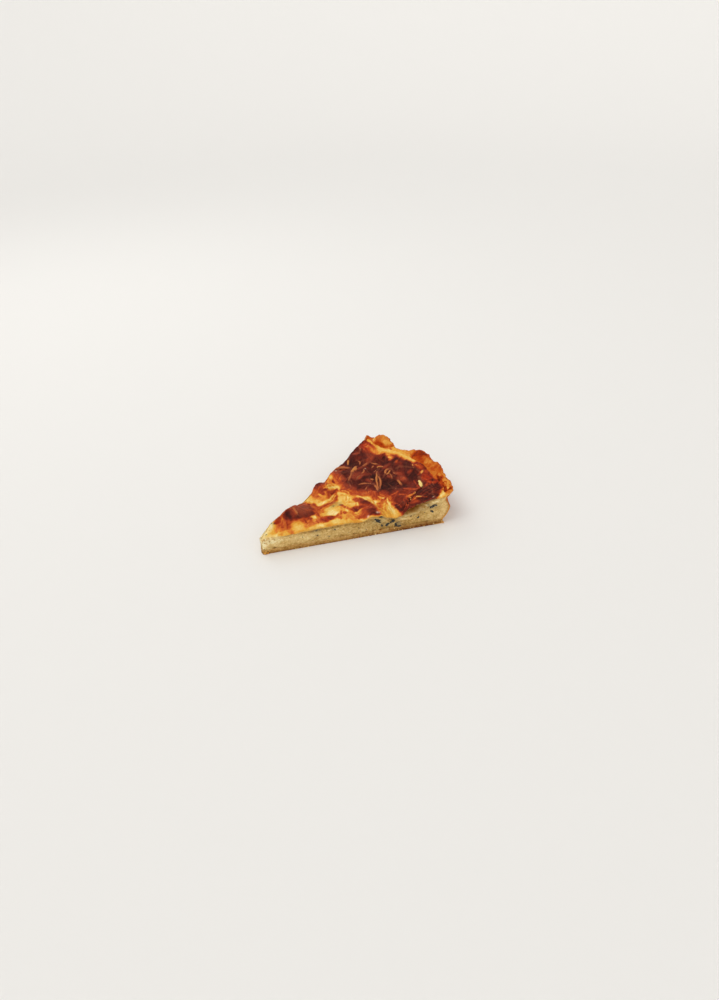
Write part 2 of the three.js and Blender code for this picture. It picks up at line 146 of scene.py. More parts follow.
# How brown the top is, from 0 for cream to 1 for nearly black. Spots: x, y, half length, half width, turn,
# level, rise in millimetres. Each is laid over those before it.
SPOTS = [
    # the pale tip
    (6, 0, 8, 6, 0, 0.03, 0), (10, -3.2, 5, 1.5, -20, 0.04, 0), (11.5, -1, 3, 3.4, 0, 0.12, 0),
    (14.6, -0.4, 2.6, 2.4, 0, 0.25, 0), (13, 3, 5.5, 1.6, 22, 0.06, 0), (16.8, 5.2, 1.8, 0.9, 20, -0.1, 0.3),
    (14, -4.4, 4, 1.4, -20, 0.14, 0), (18.4, -0.6, 3.4, 2.6, -10, 0.37, 0.1),
    (24, -1.6, 4.4, 2.8, -20, 0.42, 0.1), (21, -5.6, 2.4, 1.8, 10, 0.22, 0),
    (17.4, -5.4, 2, 1.2, -20, 0.3, 0), (24.6, -7.4, 2, 3, 10, 0.42, 0), (22.3, 0.3, 1.8, 1, 0, 0.52, 0),
    (25.4, -3, 1.6, 1.4, 50, 0.5, 0), (27.2, -0.4, 1.6, 0.8, 0, 0.56, 0.2),
    (32, -7, 4.4, 5.4, 10, 0.2, -0.2), (31.4, -2.2, 3, 1.7, -10, 0.08, -0.2),
    (36, -10.6, 2.6, 2.4, -22, 0.3, 0), (38.6, -13.6, 3, 1.3, -22, 0.2, 0), (30, -11, 4, 0.8, -22, 0.28, 0),
    # the dark mound near the tip
    (40, 7.6, 16.5, 8, 18, 0.64, 0.3), (23.6, 4.6, 5.4, 4, 18, 0.53, 0.2), (20, 4.8, 2.2, 1, 0, 0.7, 0),
    (22.6, 6.6, 2, 1.6, 20, 0.62, 0.2), (25.2, 4, 0.9, 3.4, 0, 0.48, 0.2), (28, 6.6, 1.6, 3.4, 0, 0.7, 0.2),
    (31.4, 6.2, 3.4, 4.6, 0, 0.84, 0.3), (31, 6, 1.4, 3.6, 0, 0.9, 0.2), (34.6, 3, 2, 3.4, -10, 0.7, 0.2),
    (30, 11, 5, 0.9, 20, 0.5, 0), (35.6, 1.8, 1, 1.4, 0, 0.86, -0.3), (39.6, 8.4, 2, 4, 0, 0.68, 0.3),
    (45.6, 8.8, 4.4, 4.6, 20, 0.69, 0.4), (43.6, 14, 4, 1.8, 20, 0.53, 0.2),
    (49, 16.8, 3.4, 1.6, 20, 0.57, 0), (43.6, 1.4, 8.6, 3.4, -2, 0.73, 0.2),
    (45.4, 0.4, 4.4, 2.2, 0, 0.78, 0.1), (37.6, 1.6, 2.2, 2.2, 0, 0.8, 0.1),
    (51.4, 3, 2.4, 1.6, 30, 0.74, 0.1), (53.6, 13.6, 1.1, 3.2, -30, 0.76, -0.2),
    (51, 6.6, 1.1, 3.6, -20, 0.74, 0), (53.2, 8.6, 1, 3, -20, 0.52, 0.3), (56, 8.6, 1.2, 3.6, -6, 0.62, 0.2),
    (54.8, 5, 1.4, 1.8, -20, 0.56, 0),
    # the tongue below it
    (40.4, -3.4, 4, 1.6, -10, 0.66, 0.1), (40.4, -5.6, 4.2, 3.4, -20, 0.5, 0.2),
    (43.6, -3.2, 1.8, 0.9, -20, 0.68, 0), (39.4, -9.2, 4.4, 2.4, -10, 0.43, 0),
    (43.6, -9.6, 4, 2.4, -10, 0.4, 0), (47.4, -4.6, 2.1, 2.1, 0, 0.08, -0.4),
    (46.4, -7.6, 2.2, 1, 10, 0.26, 0), (50.8, -3.2, 1.7, 3.4, -20, 0.48, 0.1),
    (53, 0.8, 3, 2.8, 0, 0.5, 0.1), (50, -7.4, 2.4, 1, 5, 0.38, 0), (45.4, -15, 3.8, 1.9, -20, 0.1, -0.2),
    (54, -11.4, 8, 5.6, -6, 0.42, 0.2), (54, -11.2, 5.8, 4.2, -8, 0.64, 0.4),
    (56, -12, 3, 2.6, 0, 0.78, 0.3), (50.8, -11.2, 1.1, 2.6, 10, 0.78, 0.1),
    (54.4, -8.6, 2.6, 0.9, 0, 0.6, 0.3), (57, -19, 5, 2.8, -20, 0.17, -0.2), (50, -17, 3, 1.2, -20, 0.24, 0),
    (63, -22.8, 4.6, 2, -20, 0.2, 0),
    # the band across the slice, with pale hollows
    (57, 16.6, 3.6, 4, 0, 0.12, -0.4), (53.6, 19.6, 2, 1.4, 20, 0.2, 0), (58.6, 11, 1.6, 3.6, 0, 0.2, -0.2),
    (60.6, 6.4, 3.6, 2.4, -20, 0.1, -0.4), (62.6, 11.4, 2, 3.4, 0, 0.36, 0),
    (55, 14.6, 0.8, 1.2, 0, 0.36, 0), (60, -5.6, 5.6, 4, -14, 0.1, -0.4),
    (61.6, -9.4, 3, 2.2, 20, 0.04, -0.3), (56.4, -4, 3, 1, 30, 0.22, 0), (68, 19.6, 9.4, 5, 22, 0.58, 0.3),
    (62.4, 19.4, 2.4, 3.4, 10, 0.46, 0), (68, 23.4, 3.4, 2, 20, 0.82, 0.3), (65.4, 22, 1, 2.2, 0, 0.68, 0),
    (74.4, 23.8, 4.4, 2.6, 22, 0.7, 0.2), (75, 27.4, 4.4, 1, 20, 0.54, 0.1),
    (64.4, 15.4, 0.7, 2.2, 0, 0.26, 0.2), (66.4, 14.4, 1.1, 3, 0, 0.6, 0.2), (70, 15.8, 2, 2, 20, 0.68, 0.2),
    (71.4, 19.4, 3.4, 1, 26, 0.5, 0.2), (77.4, 21, 1.6, 4.4, -36, 0.36, 0), (74, 12.4, 6, 1.9, 4, 0.6, 0.3),
    (73, 11.2, 3.4, 0.8, 12, 0.7, -0.1), (78.4, 13, 2.2, 1.2, 0, 0.74, 0.2), (68.6, 9.8, 3, 1.2, 20, 0.5, 0),
    (63.8, 9, 1.8, 1.2, -10, 0.4, 0), (60.4, 9.4, 1.6, 1, 0, 0.3, 0),
    # streaks of orange and yellow behind it
    (82.4, 24, 2.4, 8.4, -18, 0.4, 0), (84.8, 20, 2, 6, -10, 0.44, 0), (83.6, 27.6, 1.2, 3, -10, 0.14, 0.2),
    (82.8, 22.6, 0.8, 2, -10, 0.7, -0.2), (86.6, 24, 1.2, 6, -8, 0.56, 0.1),
    (78.6, 28.4, 2.2, 1, 22, 0.46, 0), (79.4, 16, 2, 1.4, 0, 0.06, -0.3),
    (80.6, 13, 1.1, 2.4, -6, 0.06, -0.3),
    # between the bands
    (66.6, -5, 2.4, 1.8, -20, 0.22, 0), (65, -1, 2.4, 1, 0, 0.16, 0), (72.4, -7.4, 1.8, 5, 8, 0.5, 0.2),
    (72, -3.6, 1.4, 1.4, 0, 0.6, 0.1), (75.4, -3, 1.6, 5, -6, 0.26, 0), (70.4, -12, 1, 1.6, 0, 0.1, 0.1),
    (75.4, -14.8, 3.2, 2.6, -26, 0.7, 0.3), (76.6, -16.6, 3, 1.5, -20, 0.82, 0.2),
    (81.4, -18.6, 3.4, 1.1, -22, 0.72, 0.1), (67.6, -13.4, 1.6, 1.8, -30, 0.58, 0),
    (71.6, -16, 2.2, 2.4, 0, 0.4, 0), (66, -19, 4.4, 1.6, 34, 0.36, 0), (64.6, -16, 3, 0.8, 50, 0.3, 0.2),
    (61.6, -15.6, 1.2, 2.6, -40, 0.44, 0), (62.2, -12.2, 2, 0.9, 40, 0.52, 0),
    (72, -19.6, 3, 1, -12, 0.34, 0), (84, -12.6, 4.6, 7.4, 8, 0.58, 0.5),
    (82.4, -8.2, 3, 2.4, 10, 0.57, 0.2), (84.6, -12.6, 2.8, 4, 6, 0.7, 0.2),
    (85.6, -16.4, 2.6, 2.8, 10, 0.82, 0.1), (80.4, -5.6, 1.6, 0.8, 30, 0.66, 0),
    (79.4, -13.4, 0.8, 3, -22, 0.14, -0.3), (74, -23, 6.6, 3, -14, 0.46, 0.2),
    (68.6, -22, 2.4, 3, -24, 0.34, 0), (70.6, -26, 3.4, 1, -24, 0.3, 0.2),
    (72.4, -27.6, 3, 0.8, -22, 0.18, 0.2), (76, -26.6, 2.6, 1.6, -30, 0.6, 0.1),
    (84.6, -24.4, 5.4, 6.4, -10, 0.58, 0.3), (79.6, -22, 2, 2.4, 0, 0.58, 0),
    (82.4, -27.4, 4, 2.6, -24, 0.78, 0.2), (84.4, -31.2, 4, 1.2, -22, 0.86, 0.1),
    (80, -30, 3, 1, -24, 0.8, 0), (88.6, -27, 1.4, 3, 0, 0.52, 0), (87, -22, 1.2, 4, -20, 0.66, 0.2),
    (90, -30.4, 1.6, 1.6, 0, 0.34, 0), (77, -29, 2, 0.8, -24, 0.56, 0),
    # the pale break before the dark plateau
    (89.8, -11.4, 2.4, 2.4, -20, 0.16, -0.3), (90.4, -15, 2, 1.4, 0, 0.22, 0),
    (91.4, -19, 2.2, 2.2, -6, 0.08, -0.4), (95.4, -15, 2.8, 3.6, 20, 0.5, 0.2),
    (97, -12.4, 2.2, 3.6, 30, 0.6, 0.2), (94.8, -9, 2.6, 2.4, 30, 0.53, 0),
    (97.4, -20.6, 2.4, 1.2, 10, 0.54, 0), (93.6, -22.6, 2.4, 1.2, 30, 0.46, 0),
    (90.2, -24.4, 1.6, 4, -20, 0.32, 0), (92.6, -24.6, 1.4, 3.4, 10, 0.44, 0.1),
    (96.6, -22, 2.4, 1.2, 14, 0.46, 0.2), (95.2, -26.6, 2.2, 2.6, -30, 0.3, 0),
    (98.4, -31.6, 3, 5.4, -14, 0.12, -0.3), (94, -31.4, 2.4, 2.4, 20, 0.27, -0.2),
    (92.4, -34, 3.2, 1.4, -20, 0.24, 0), (97.6, -37.2, 3, 1.2, -20, 0.2, 0),
    (101.2, -18, 2, 3.4, 0, 0.6, 0.1), (99.6, -13.4, 2, 2.6, 30, 0.68, 0.2),
    (101.6, -10, 2, 1.2, 40, 0.58, 0.2), (101.2, -21.2, 2.2, 0.9, 0, 0.74, -0.2),
    (102.6, -23.6, 1.8, 3.4, 10, 0.52, 0.2), (101.8, -28.4, 1.4, 2, 10, 0.5, 0.1),
    (99.2, -23.4, 0.9, 2, -10, 0.44, 0), (100.2, -30, 0.8, 2.6, 0, 0.3, 0.1),
    (88.4, -33, 2.4, 0.9, -24, 0.3, 0), (93.4, -21, 1.2, 0.9, 0, 0.3, 0),
    # the orange lumps, the yellow hollow and the yellow strip along the rim
    (128.8, 37.4, 2.8, 3.2, -10, 0.48, 0.5), (125.9, 38, 1, 4, 0, 0.72, 0.1),
    (132, 41.4, 1.4, 2.6, 0, 0.66, 0.1), (128.4, 42, 2.4, 1.5, 10, 0.62, 0.3),
    (126, 44.4, 1.6, 1.2, 20, 0.84, 0.1), (132.4, 37, 1.3, 3.4, -8, 0.6, 0.1),
    (131.4, 31.8, 1.8, 3, 0, 0.4, 0), (129.6, 28.4, 1.6, 1.8, 0, 0.42, 0),
    (128.4, 31.4, 0.6, 3.2, 4, 0.26, 0.2), (134.6, 29, 2.4, 4.4, -8, 0.19, -0.4),
    (133.6, 24.2, 1.8, 1.2, -20, 0.3, 0), (134.6, 44, 0.8, 6, -4, 0.26, 0.2),
    (136.8, 45.6, 1, 4, 0, 0.46, 0), (132.4, 45.4, 1, 3.4, 10, 0.64, 0), (135.6, 38.4, 1, 3, -10, 0.42, 0),
    (138.6, 31, 0.9, 5, -6, 0.5, 0), (138.2, 42, 0.7, 4, 0, 0.66, 0), (127.4, 45.2, 4.4, 1.8, 14, 0.76, 0),
    (131.6, 43, 1, 3, 0, 0.62, 0.1), (130, 47.4, 3.4, 1.8, 14, 0.76, 0), (125.8, 41.6, 1.2, 2.4, 0, 0.68, 0),
    # the pale wedge at the right end of the front cut
    (131, -49.4, 5, 1.6, 24, 0.13, -0.3), (136.6, -47.6, 1.4, 3, -10, 0.4, 0),
    (139, -47, 1.2, 4, -16, 0.6, 0),
]
# Lines on the top: points, half width, level, rise. Bands, pale ridges, and the creases of the lifted skin.
LINES = [
    ([(54.6, 3.4), (60, 3), (65.6, 2.8), (70, 4.8), (75, 7.6), (78.6, 10.6)], 2.1, 0.53, 0.2),
    ([(55.6, -1.6), (60, 0.4), (65, 1.6)], 1.4, 0.46, 0),
    ([(57, 2.4), (62, 3.4), (67, 3.4)], 0.8, 0.62, 0.2),
    ([(59, -1.2), (65, -1.6), (70.4, -1.6), (74, 1.6), (77, 6)], 1.4, 0.17, -0.2),
    ([(64, 6.4), (69, 8), (74, 10)], 0.55, 0.18, 0.1),
    ([(66, 4.6), (71, 6.6), (75.6, 9.2)], 0.4, 0.3, 0.2),
    ([(69.6, 16.8), (74, 16.2)], 0.6, 0.3, 0),
    ([(74, 16.2), (78, 16.8), (80.4, 14), (80.6, 11)], 0.8, 0.14, -0.2),
    ([(72, 18), (76.6, 19.6), (79, 22.4)], 0.6, 0.26, 0.1),
    ([(78.6, 8.6), (78.4, 3), (79, -3.4), (78.2, -9)], 1.9, 0.15, -0.4),
    ([(77.4, 6), (79.6, 2.6), (77.8, -1)], 0.4, 0.34, 0.1),
    ([(79.8, -2), (77.6, -5), (79.4, -8)], 0.4, 0.32, 0.1),
    ([(89, -13), (91.4, -16.4), (90.6, -19.4)], 0.4, 0.32, 0.1),
    ([(75, 5.6), (74, 0.6), (74.4, -4)], 0.7, 0.18, -0.1),
    ([(81.4, 10), (83, 4), (85.4, -1), (88.6, -6)], 1.7, 0.5, 0.2),
    ([(81.6, 9.4), (83.4, 3.6)], 0.4, 0.24, 0.1),
    ([(85.4, -5), (87.4, -8), (88.4, -12)], 0.8, 0.14, -0.2),
    ([(87.4, -2.6), (90, -6.4), (93, -9)], 1.4, 0.5, 0.1),
    ([(62.6, -17.8), (65.8, -12), (69.8, -5.4)], 0.6, 0.34, 0.3),
    ([(64.6, -13), (66.6, -10)], 0.6, 0.54, -0.1),
    ([(60.4, -18.6), (63, -15)], 0.6, 0.48, 0),
    ([(69, -21), (76, -21.6)], 0.6, 0.36, 0.1),
    ([(72, -25.4), (78, -23.6)], 0.7, 0.56, 0.1),
    ([(76, -13), (80, -17), (85, -19.6)], 0.7, 0.66, 0.1),
    ([(92.4, -20.6), (96, -22), (99, -20.4)], 0.6, 0.5, 0.1),
    ([(101, -14.6), (102.4, -19)], 1.2, 0.54, 0.1),
    ([(40, 16), (37.8, 10), (37.8, 3.6)], 0.6, 0.52, 0.35),
    ([(42.4, 15.6), (44, 9), (46.4, 4)], 0.4, 0.55, 0.2),
    ([(48, 16), (47.4, 10), (49.4, 4)], 0.5, 0.66, 0.1),
    ([(37.6, -9.6), (41, -11), (45, -10.8)], 0.6, 0.44, 0),
    ([(92, -27.6), (94.8, -23.6), (98.4, -20.8)], 0.5, 0.5, 0.1),
    ([(92.4, -16), (94, -13), (95.6, -9.6)], 0.5, 0.5, 0),
    ([(94.4, -17.6), (96, -14.4), (97.6, -11.4)], 0.5, 0.5, 0.1),
    ([(96.4, -19), (97.2, -16), (99, -13)], 0.4, 0.54, 0.1),
    ([(88.4, -18), (90.4, -21.6), (90.6, -25)], 0.5, 0.34, 0),
    ([(93, -30), (95.6, -26.4), (98.4, -23.6)], 0.4, 0.38, 0.1),
    ([(95, -36), (97.2, -32), (98, -28)], 0.3, 0.24, 0.15),
    ([(98.6, -37), (99.8, -33), (99.4, -29.4)], 0.3, 0.26, 0.2),
    ([(92.6, -35.6), (94.6, -32.6), (96, -29.4)], 0.3, 0.3, 0.1),
    ([(100.4, -19), (102.2, -21), (103.2, -24)], 0.35, 0.3, 0.3),
    ([(100.2, -27), (102, -25.4), (103.4, -26.6)], 0.3, 0.26, 0.3),
    ([(101.8, -30), (103.6, -27.6), (105.4, -26.4)], 0.3, 0.36, 0.3),
    ([(98, -15.8), (98.8, -18), (99.8, -19.4)], 0.4, 0.16, 0.3),
    ([(101.2, -21.8), (100.8, -24.6), (99.6, -27.6)], 0.55, 0.1, 0.3),
    ([(136.4, 25), (139.8, 20), (142.2, 13.6), (142.8, 6), (144.2, -1.4), (145.8, -5.4)], 1.4, 0.2, 0),
    ([(137, 25), (140.4, 20), (142.8, 13.6), (143.6, 6), (144.8, -1.4)], 0.5, 0.18, 0.1),
    ([(138, 35), (139.2, 27.6), (141, 22.4)], 0.6, 0.56, 0),
    ([(135, -45.8), (136, -50.6)], 0.45, 0.66, -0.6),
]
# The dark plateau's outline, and its spots and lines, with the same numbers as above.
PLATEAU = [
    (89, 34), (87.4, 28), (88.4, 22), (86.4, 17), (85, 12), (85, 7), (87, 2.4), (90, -1.4), (94, -4.6),
    (98, -9), (101, -13), (102.4, -17.4), (104.4, -21), (104.8, -25.4), (103, -29), (100.9, -32),
    (100.7, -36), (101.4, -42), (110, -46), (122, -52), (126, -50.4), (134, -46.4), (137.6, -44.2),
    (142, -38), (146, -28), (147, -14), (145, -4.6), (142.2, -4), (141.2, 3), (140, 9), (138.4, 16),
    (135.6, 22.6), (131.4, 24), (128, 27), (126.4, 33), (124.6, 38), (125.6, 42.6), (128.4, 44.4),
    (131.4, 44), (133.4, 49), (126, 52), (104, 41),
]
PLATEAU_SPOTS = [
    (87.6, 8, 3, 8, 0, 0.66, 0), (94, 30.6, 8, 3.4, 14, 0.6, 0.2), (89.4, 22, 2, 6, 10, 0.62, 0),
    (99.4, 15.6, 5.4, 4, 0, 0.66, 0.3), (101, 12.4, 3, 1.4, 20, 0.58, 0.2), (97, 26, 4, 2.6, 30, 0.84, 0),
    (93, -2.4, 4, 3.4, -30, 0.66, 0), (92.4, 12, 3, 6, 0, 0.86, 0), (108, 32, 5, 6.4, 20, 0.95, 0),
    (116, 35, 5, 5, 10, 0.82, 0.2), (116.6, 38.6, 3, 1.6, -30, 0.64, 0.3), (124, 30, 3, 5, 10, 0.7, 0.2),
    (121, 26, 4.4, 2, 10, 0.62, 0.3), (112, 22.6, 9, 1.6, 8, 0.7, 0.2), (110, 18, 5, 2, 0, 0.8, 0),
    (107, 13, 4, 3, -20, 0.7, 0.2), (104, 4.6, 2, 3.4, 0, 0.68, 0.2), (110, 5, 4, 4, 0, 0.96, 0),
    (98, 1.6, 4, 3.6, 0, 0.84, 0), (107, -11, 7, 6, -30, 0.94, 0), (115, -8, 5, 7, 0, 0.95, -0.2),
    (128, 14, 4, 5, 0, 0.88, 0), (121.6, 14.4, 2.6, 1.2, -40, 0.62, 0.3), (125.4, 10, 3, 2, 0, 0.7, 0.2),
    (125.6, -11, 2.8, 4.4, 10, 0.6, 0.4), (127, -4, 2, 3, 20, 0.64, 0.3), (131, -12, 2.6, 7, -14, 0.9, -0.2),
    (134, 4, 3, 4, 0, 0.74, 0.3), (130, 3.4, 3, 2, 0, 0.84, 0), (140, -1, 1.8, 5, 8, 0.88, 0),
    (103.4, -16, 2.6, 4, 10, 0.7, 0), (112, -25, 11, 5, -12, 0.75, 0.3),
    (108.4, -27.6, 1.6, 1, 20, 0.9, 0.2), (119.6, -27, 2.6, 4.6, 14, 0.6, 0.3),
    (106.6, -24, 3.4, 2.6, 0, 0.69, 0.2), (104.6, -28, 2.4, 3, 0, 0.74, 0.1),
    (113, -30, 5, 2.6, -14, 0.66, 0.1), (125.6, -22, 2.6, 6, 20, 0.76, 0), (126.4, -30, 2.4, 3, 20, 0.66, 0),
    (108, -31, 3, 2.6, -10, 0.75, 0.3), (103.2, -33.2, 2.6, 4.6, 6, 0.88, 0),
    (107, -34.4, 2, 3.4, 0, 0.76, 0.3), (113.6, -34, 3.6, 1.5, -30, 0.38, 0.5),
    (117.6, -34.4, 2.4, 1.2, 24, 0.5, 0.4), (116, -38.4, 4.6, 1.5, -24, 0.5, 0.5),
    (112.6, -41, 4, 1.8, -24, 0.6, 0.3), (105, -39.4, 4.4, 2.2, -22, 0.84, 0),
    (122, -36.6, 6, 2.6, 14, 0.88, 0.2), (129.6, -37, 6, 4, -14, 0.9, 0.3),
    (121.6, -43.6, 5, 2.8, -22, 0.93, 0.2), (133.6, -41.6, 4, 3, -30, 0.88, 0),
    (126, -46.4, 4, 1.6, -24, 0.94, 0), (135.4, 17, 1.6, 4.4, 6, 0.42, 0.4),
    (134, 15, 1.1, 2.8, 0, 0.2, 0.2), (132.6, 13.4, 1.6, 1.8, 0, 0.5, 0),
    (131, 19.6, 1.5, 1.2, 20, 1.0, -1.2), (134.2, 7.4, 1.5, 1.2, 20, 0.5, 0.4),
    (138.4, 12, 1.4, 6, 12, 0.72, 0), (138, -17.2, 2.6, 0.9, 14, 0.36, 0.4),
    (133.6, -10, 2.4, 2, 0, 0.66, 0.3), (112, 12, 2, 3, 40, 0.88, 0), (120, -2, 2, 3, 0, 0.7, 0.2),
    (137, -12, 1.8, 6, 0, 0.9, -0.4), (142.2, -10.8, 2.4, 5, -6, 0.58, 0.8),
    (141, -10.4, 1.1, 3, 0, 0.46, 0.9), (144.8, -9, 0.9, 4, -6, 0.84, 0.5),
    (142.6, -8, 0.8, 1.4, 0, 0.68, 0.9), (143.6, -5.2, 2.6, 1.1, 0, 0.92, 0),
    (146, -11, 0.9, 6, -4, 0.86, 0), (142.6, -12.4, 0.5, 2.4, 0, 0.64, 0.7),
    (142, -19.6, 2.2, 2.4, 0, 0.62, 0), (137.4, -24.4, 3, 5.2, -10, 0.63, 0.4),
    (139.6, -22, 0.6, 3, 10, 0.74, 0.2), (137, -22, 0.5, 2.4, -20, 0.74, 0.2),
    (138.2, -26.4, 0.5, 2.2, 20, 0.74, 0.3), (135.8, -23.4, 0.5, 1.6, 0, 0.54, 0.5),
    (136, -27, 0.6, 2.4, -10, 0.5, 0.5), (133.4, -27.6, 1.4, 3, 20, 0.74, 0),
    (135, -31, 1.4, 2, 20, 0.56, 0.3), (141.4, -30, 1.4, 5, -14, 0.66, 0),
    (137, -34, 2, 1.6, -20, 0.62, 0.3), (139.8, -37, 1, 4.6, -24, 0.7, 0),
    (142.6, -26, 1, 4, -10, 0.54, 0.1), (131.4, -31.6, 1.6, 1, 20, 0.54, 0.2),
    (138.4, -41, 1.4, 3, -30, 0.74, 0), (128, 47.6, 3, 2, 0, 0.8, 0), (130.6, 46, 1, 1.6, 0, 0.66, 0),
]
PLATEAU_LINES = [
    ([(103.6, -37.2), (109, -37), (113, -36.6), (118, -35.4), (124, -33.2), (128, -30.8)], 0.5, 0.98, -0.9),
    ([(106.6, -39.6), (108, -36), (108.6, -31.6)], 0.3, 0.54, 0.3),
    ([(110, -39.6), (109.6, -36), (110.4, -32.6)], 0.3, 0.56, 0.3),
    ([(105, -40.2), (108, -39.2), (112.4, -38.4)], 0.3, 0.6, 0.3),
    ([(102.4, -37.6), (105, -38.2), (107.4, -37.6)], 0.25, 0.6, 0.2),
    ([(112.4, -39), (118, -40.4), (121.4, -43.4)], 0.45, 0.54, 0.4),
    ([(120, -38.4), (126, -37), (132, -37.6)], 0.3, 0.68, 0.35),
    ([(121, -40.4), (127.4, -39.4), (133.6, -40.4)], 0.3, 0.7, 0.35),
    ([(124, -42.6), (130, -41.8), (136, -42.6)], 0.3, 0.7, 0.3),
    ([(117, -45.4), (123, -47), (128, -46.6)], 0.35, 0.66, 0.3),
    ([(104.6, -34.6), (105, -31), (103.6, -28.4)], 0.4, 0.5, 0.3),
    ([(124.4, -34.6), (129, -33), (134, -33.6)], 0.4, 0.66, 0.4),
    ([(129.6, -20), (127, -26), (124.6, -31)], 0.6, 0.6, 0.2),
    ([(117, -22.6), (119.6, -27), (123, -30.4)], 0.8, 0.52, 0.2),
    ([(110, -26.4), (112.4, -31)], 0.6, 0.52, 0.2),
    ([(114.6, -24), (115.6, -28), (118, -32)], 0.4, 0.6, 0.2),
    ([(106, -21.4), (109, -22.6), (111, -22.4)], 0.6, 0.54, 0.2),
    ([(88, 33), (94, 34), (100, 33.6)], 0.9, 0.54, 0.2),
]
# The band of brown round the plateau: its browning, the place without it, and where it ends at the right.
BAND_LEVEL, BAND_GAP, BAND_END = 0.57, (95, -31), 126
# Where the top is a clear, glassy red rather than brown: x, y, half length, half width and turn.
GLASSY = [
    (142, -11, 3.4, 6, -6), (138, -27, 4, 7, -10), (128, 40, 4.6, 6, 0), (54, -11.4, 6, 4.4, -6),
    (134, 35, 4, 5, 0), (141, -36, 3, 9, -20), (20, 4.8, 2.4, 1.4, 0),
]
# A place on the mound near the tip with a painted pale sheen, with the same numbers.
MOUND_SHEEN = (44, 8, 8, 6, 15)
# Small wet spots of grease on the skin, glossy and with a painted pale glint in their colour: x, y and half
# size.
WET_GLINT_SPOTS = [
    (77.4, -29.4, 0.7), (84.6, -31.2, 0.8), (86, -31.8, 0.5), (90.2, 30.4, 0.7), (110.6, 18, 0.5),
    (124.4, -47.6, 0.5),
]

# Strands of grated cheese: points, half width, and how brown they are.
STRANDS = [
    ([(103.2, -9.6), (106, -3.4), (108.8, 0.8), (112, 4.8), (115.4, 8.8), (119.4, 11.4)], 0.6, 0.48),
    ([(104, -9.4), (107.6, -5.4), (110.8, -1.4), (113.4, 3.2), (116.2, 7.6)], 0.6, 0.5),
    ([(95, 6), (99.2, 4.2), (102, 1.4), (103.8, -1.6)], 0.75, 0.54),
    ([(104, -1.6), (103.2, -6.4), (101, -11.6)], 0.85, 0.5),
    ([(90.2, 12.6), (91.4, 14.4), (96, 18), (100.8, 22)], 0.6, 0.56),
    ([(98.6, 20.4), (102, 23), (107.8, 26.4)], 1.0, 0.52),
    ([(102.8, 21.2), (106, 24)], 0.7, 0.52),
    ([(103.8, 33), (106, 36), (109.2, 39.2)], 0.7, 0.5),
    ([(90, 32), (96, 33), (100, 31.6), (102.8, 27.8)], 1.1, 0.62),
    ([(110, 22), (114.2, 23), (119.4, 23.2)], 0.8, 0.62),
    ([(119.4, 22), (120.8, 18.8), (122.8, 16.6)], 0.6, 0.6),
    ([(115.8, 16), (118.8, 17.4)], 0.55, 0.56),
    ([(114, 10.6), (117.4, 11.8), (120.4, 14.4), (124, 11.4), (127.4, 9.2)], 0.5, 0.62),
    ([(116, 0.6), (119.4, 3.4), (122, 5.8), (126.4, 6)], 0.7, 0.5),
    ([(117.2, 2.8), (121.2, 2), (124.2, 3.4), (126.8, 4.8)], 0.5, 0.52),
    ([(120.6, 4.8), (123.4, 6.4), (125.6, 5)], 0.6, 0.4),
    ([(126.4, 3.6), (125.4, 0), (126.2, -3)], 0.6, 0.54),
    ([(122.2, 1.6), (121.4, -2.2), (119.2, -6.4)], 0.45, 0.62),
    ([(122, -9), (120.8, -12.8), (119.2, -17.4)], 0.75, 0.5),
    ([(94.6, -2.8), (98, -0.8), (100.6, 0)], 0.5, 0.64),
    ([(88.8, 8), (90.2, 11.4)], 0.5, 0.62),
    ([(105.8, 5.6), (107.6, 3.2)], 0.9, 0.6),
    ([(134.2, -20.8), (130.8, -26), (127.2, -31.6)], 1.15, 0.14),
    ([(134.4, 12.2), (134.2, 16), (133.4, 19)], 0.8, 0.36),
    ([(129.8, 1.8), (132.8, 1), (135.2, -3.6), (138.4, -10)], 0.7, 0.46),
    ([(138.8, -7.8), (140.8, -5)], 0.5, 0.44),
    ([(138, -18.4), (141.4, -17)], 0.7, 0.34),
    ([(132.6, 7.8), (134.8, 7.8)], 0.8, 0.5),
    ([(37.4, 12.4), (37.8, 6.4), (37.6, 2.6)], 0.5, 0.54),
    ([(98, -15.6), (99, -18), (100.6, -20)], 0.55, 0.2),
    ([(101, -21.8), (100.6, -24.6), (99.6, -27.4)], 0.6, 0.16),
    ([(110.6, -31.4), (112.4, -34), (113.8, -35.6)], 0.6, 0.34),
    ([(113.4, -35.4), (116, -35.6), (118.8, -33.4)], 0.5, 0.38),
    ([(113.8, -37.2), (116.6, -38.6), (119.4, -41)], 0.55, 0.4),
    ([(112, -36), (111.6, -38.6)], 0.4, 0.44),
    ([(125.8, -7), (126.8, -11), (125.6, -15)], 0.5, 0.6),
    ([(108.6, -14), (112.4, -17), (113.4, -21)], 0.45, 0.68),
    ([(111, 26), (113.4, 29.6), (112.4, 33.4)], 0.45, 0.66),
    ([(124, 44), (121.6, 39.4), (118.6, 37)], 0.5, 0.6),
    ([(96.4, 11.6), (100, 13.4), (104, 13)], 0.5, 0.64),
    ([(104, 14.6), (107.6, 16.2), (109.4, 19)], 0.5, 0.62),
]

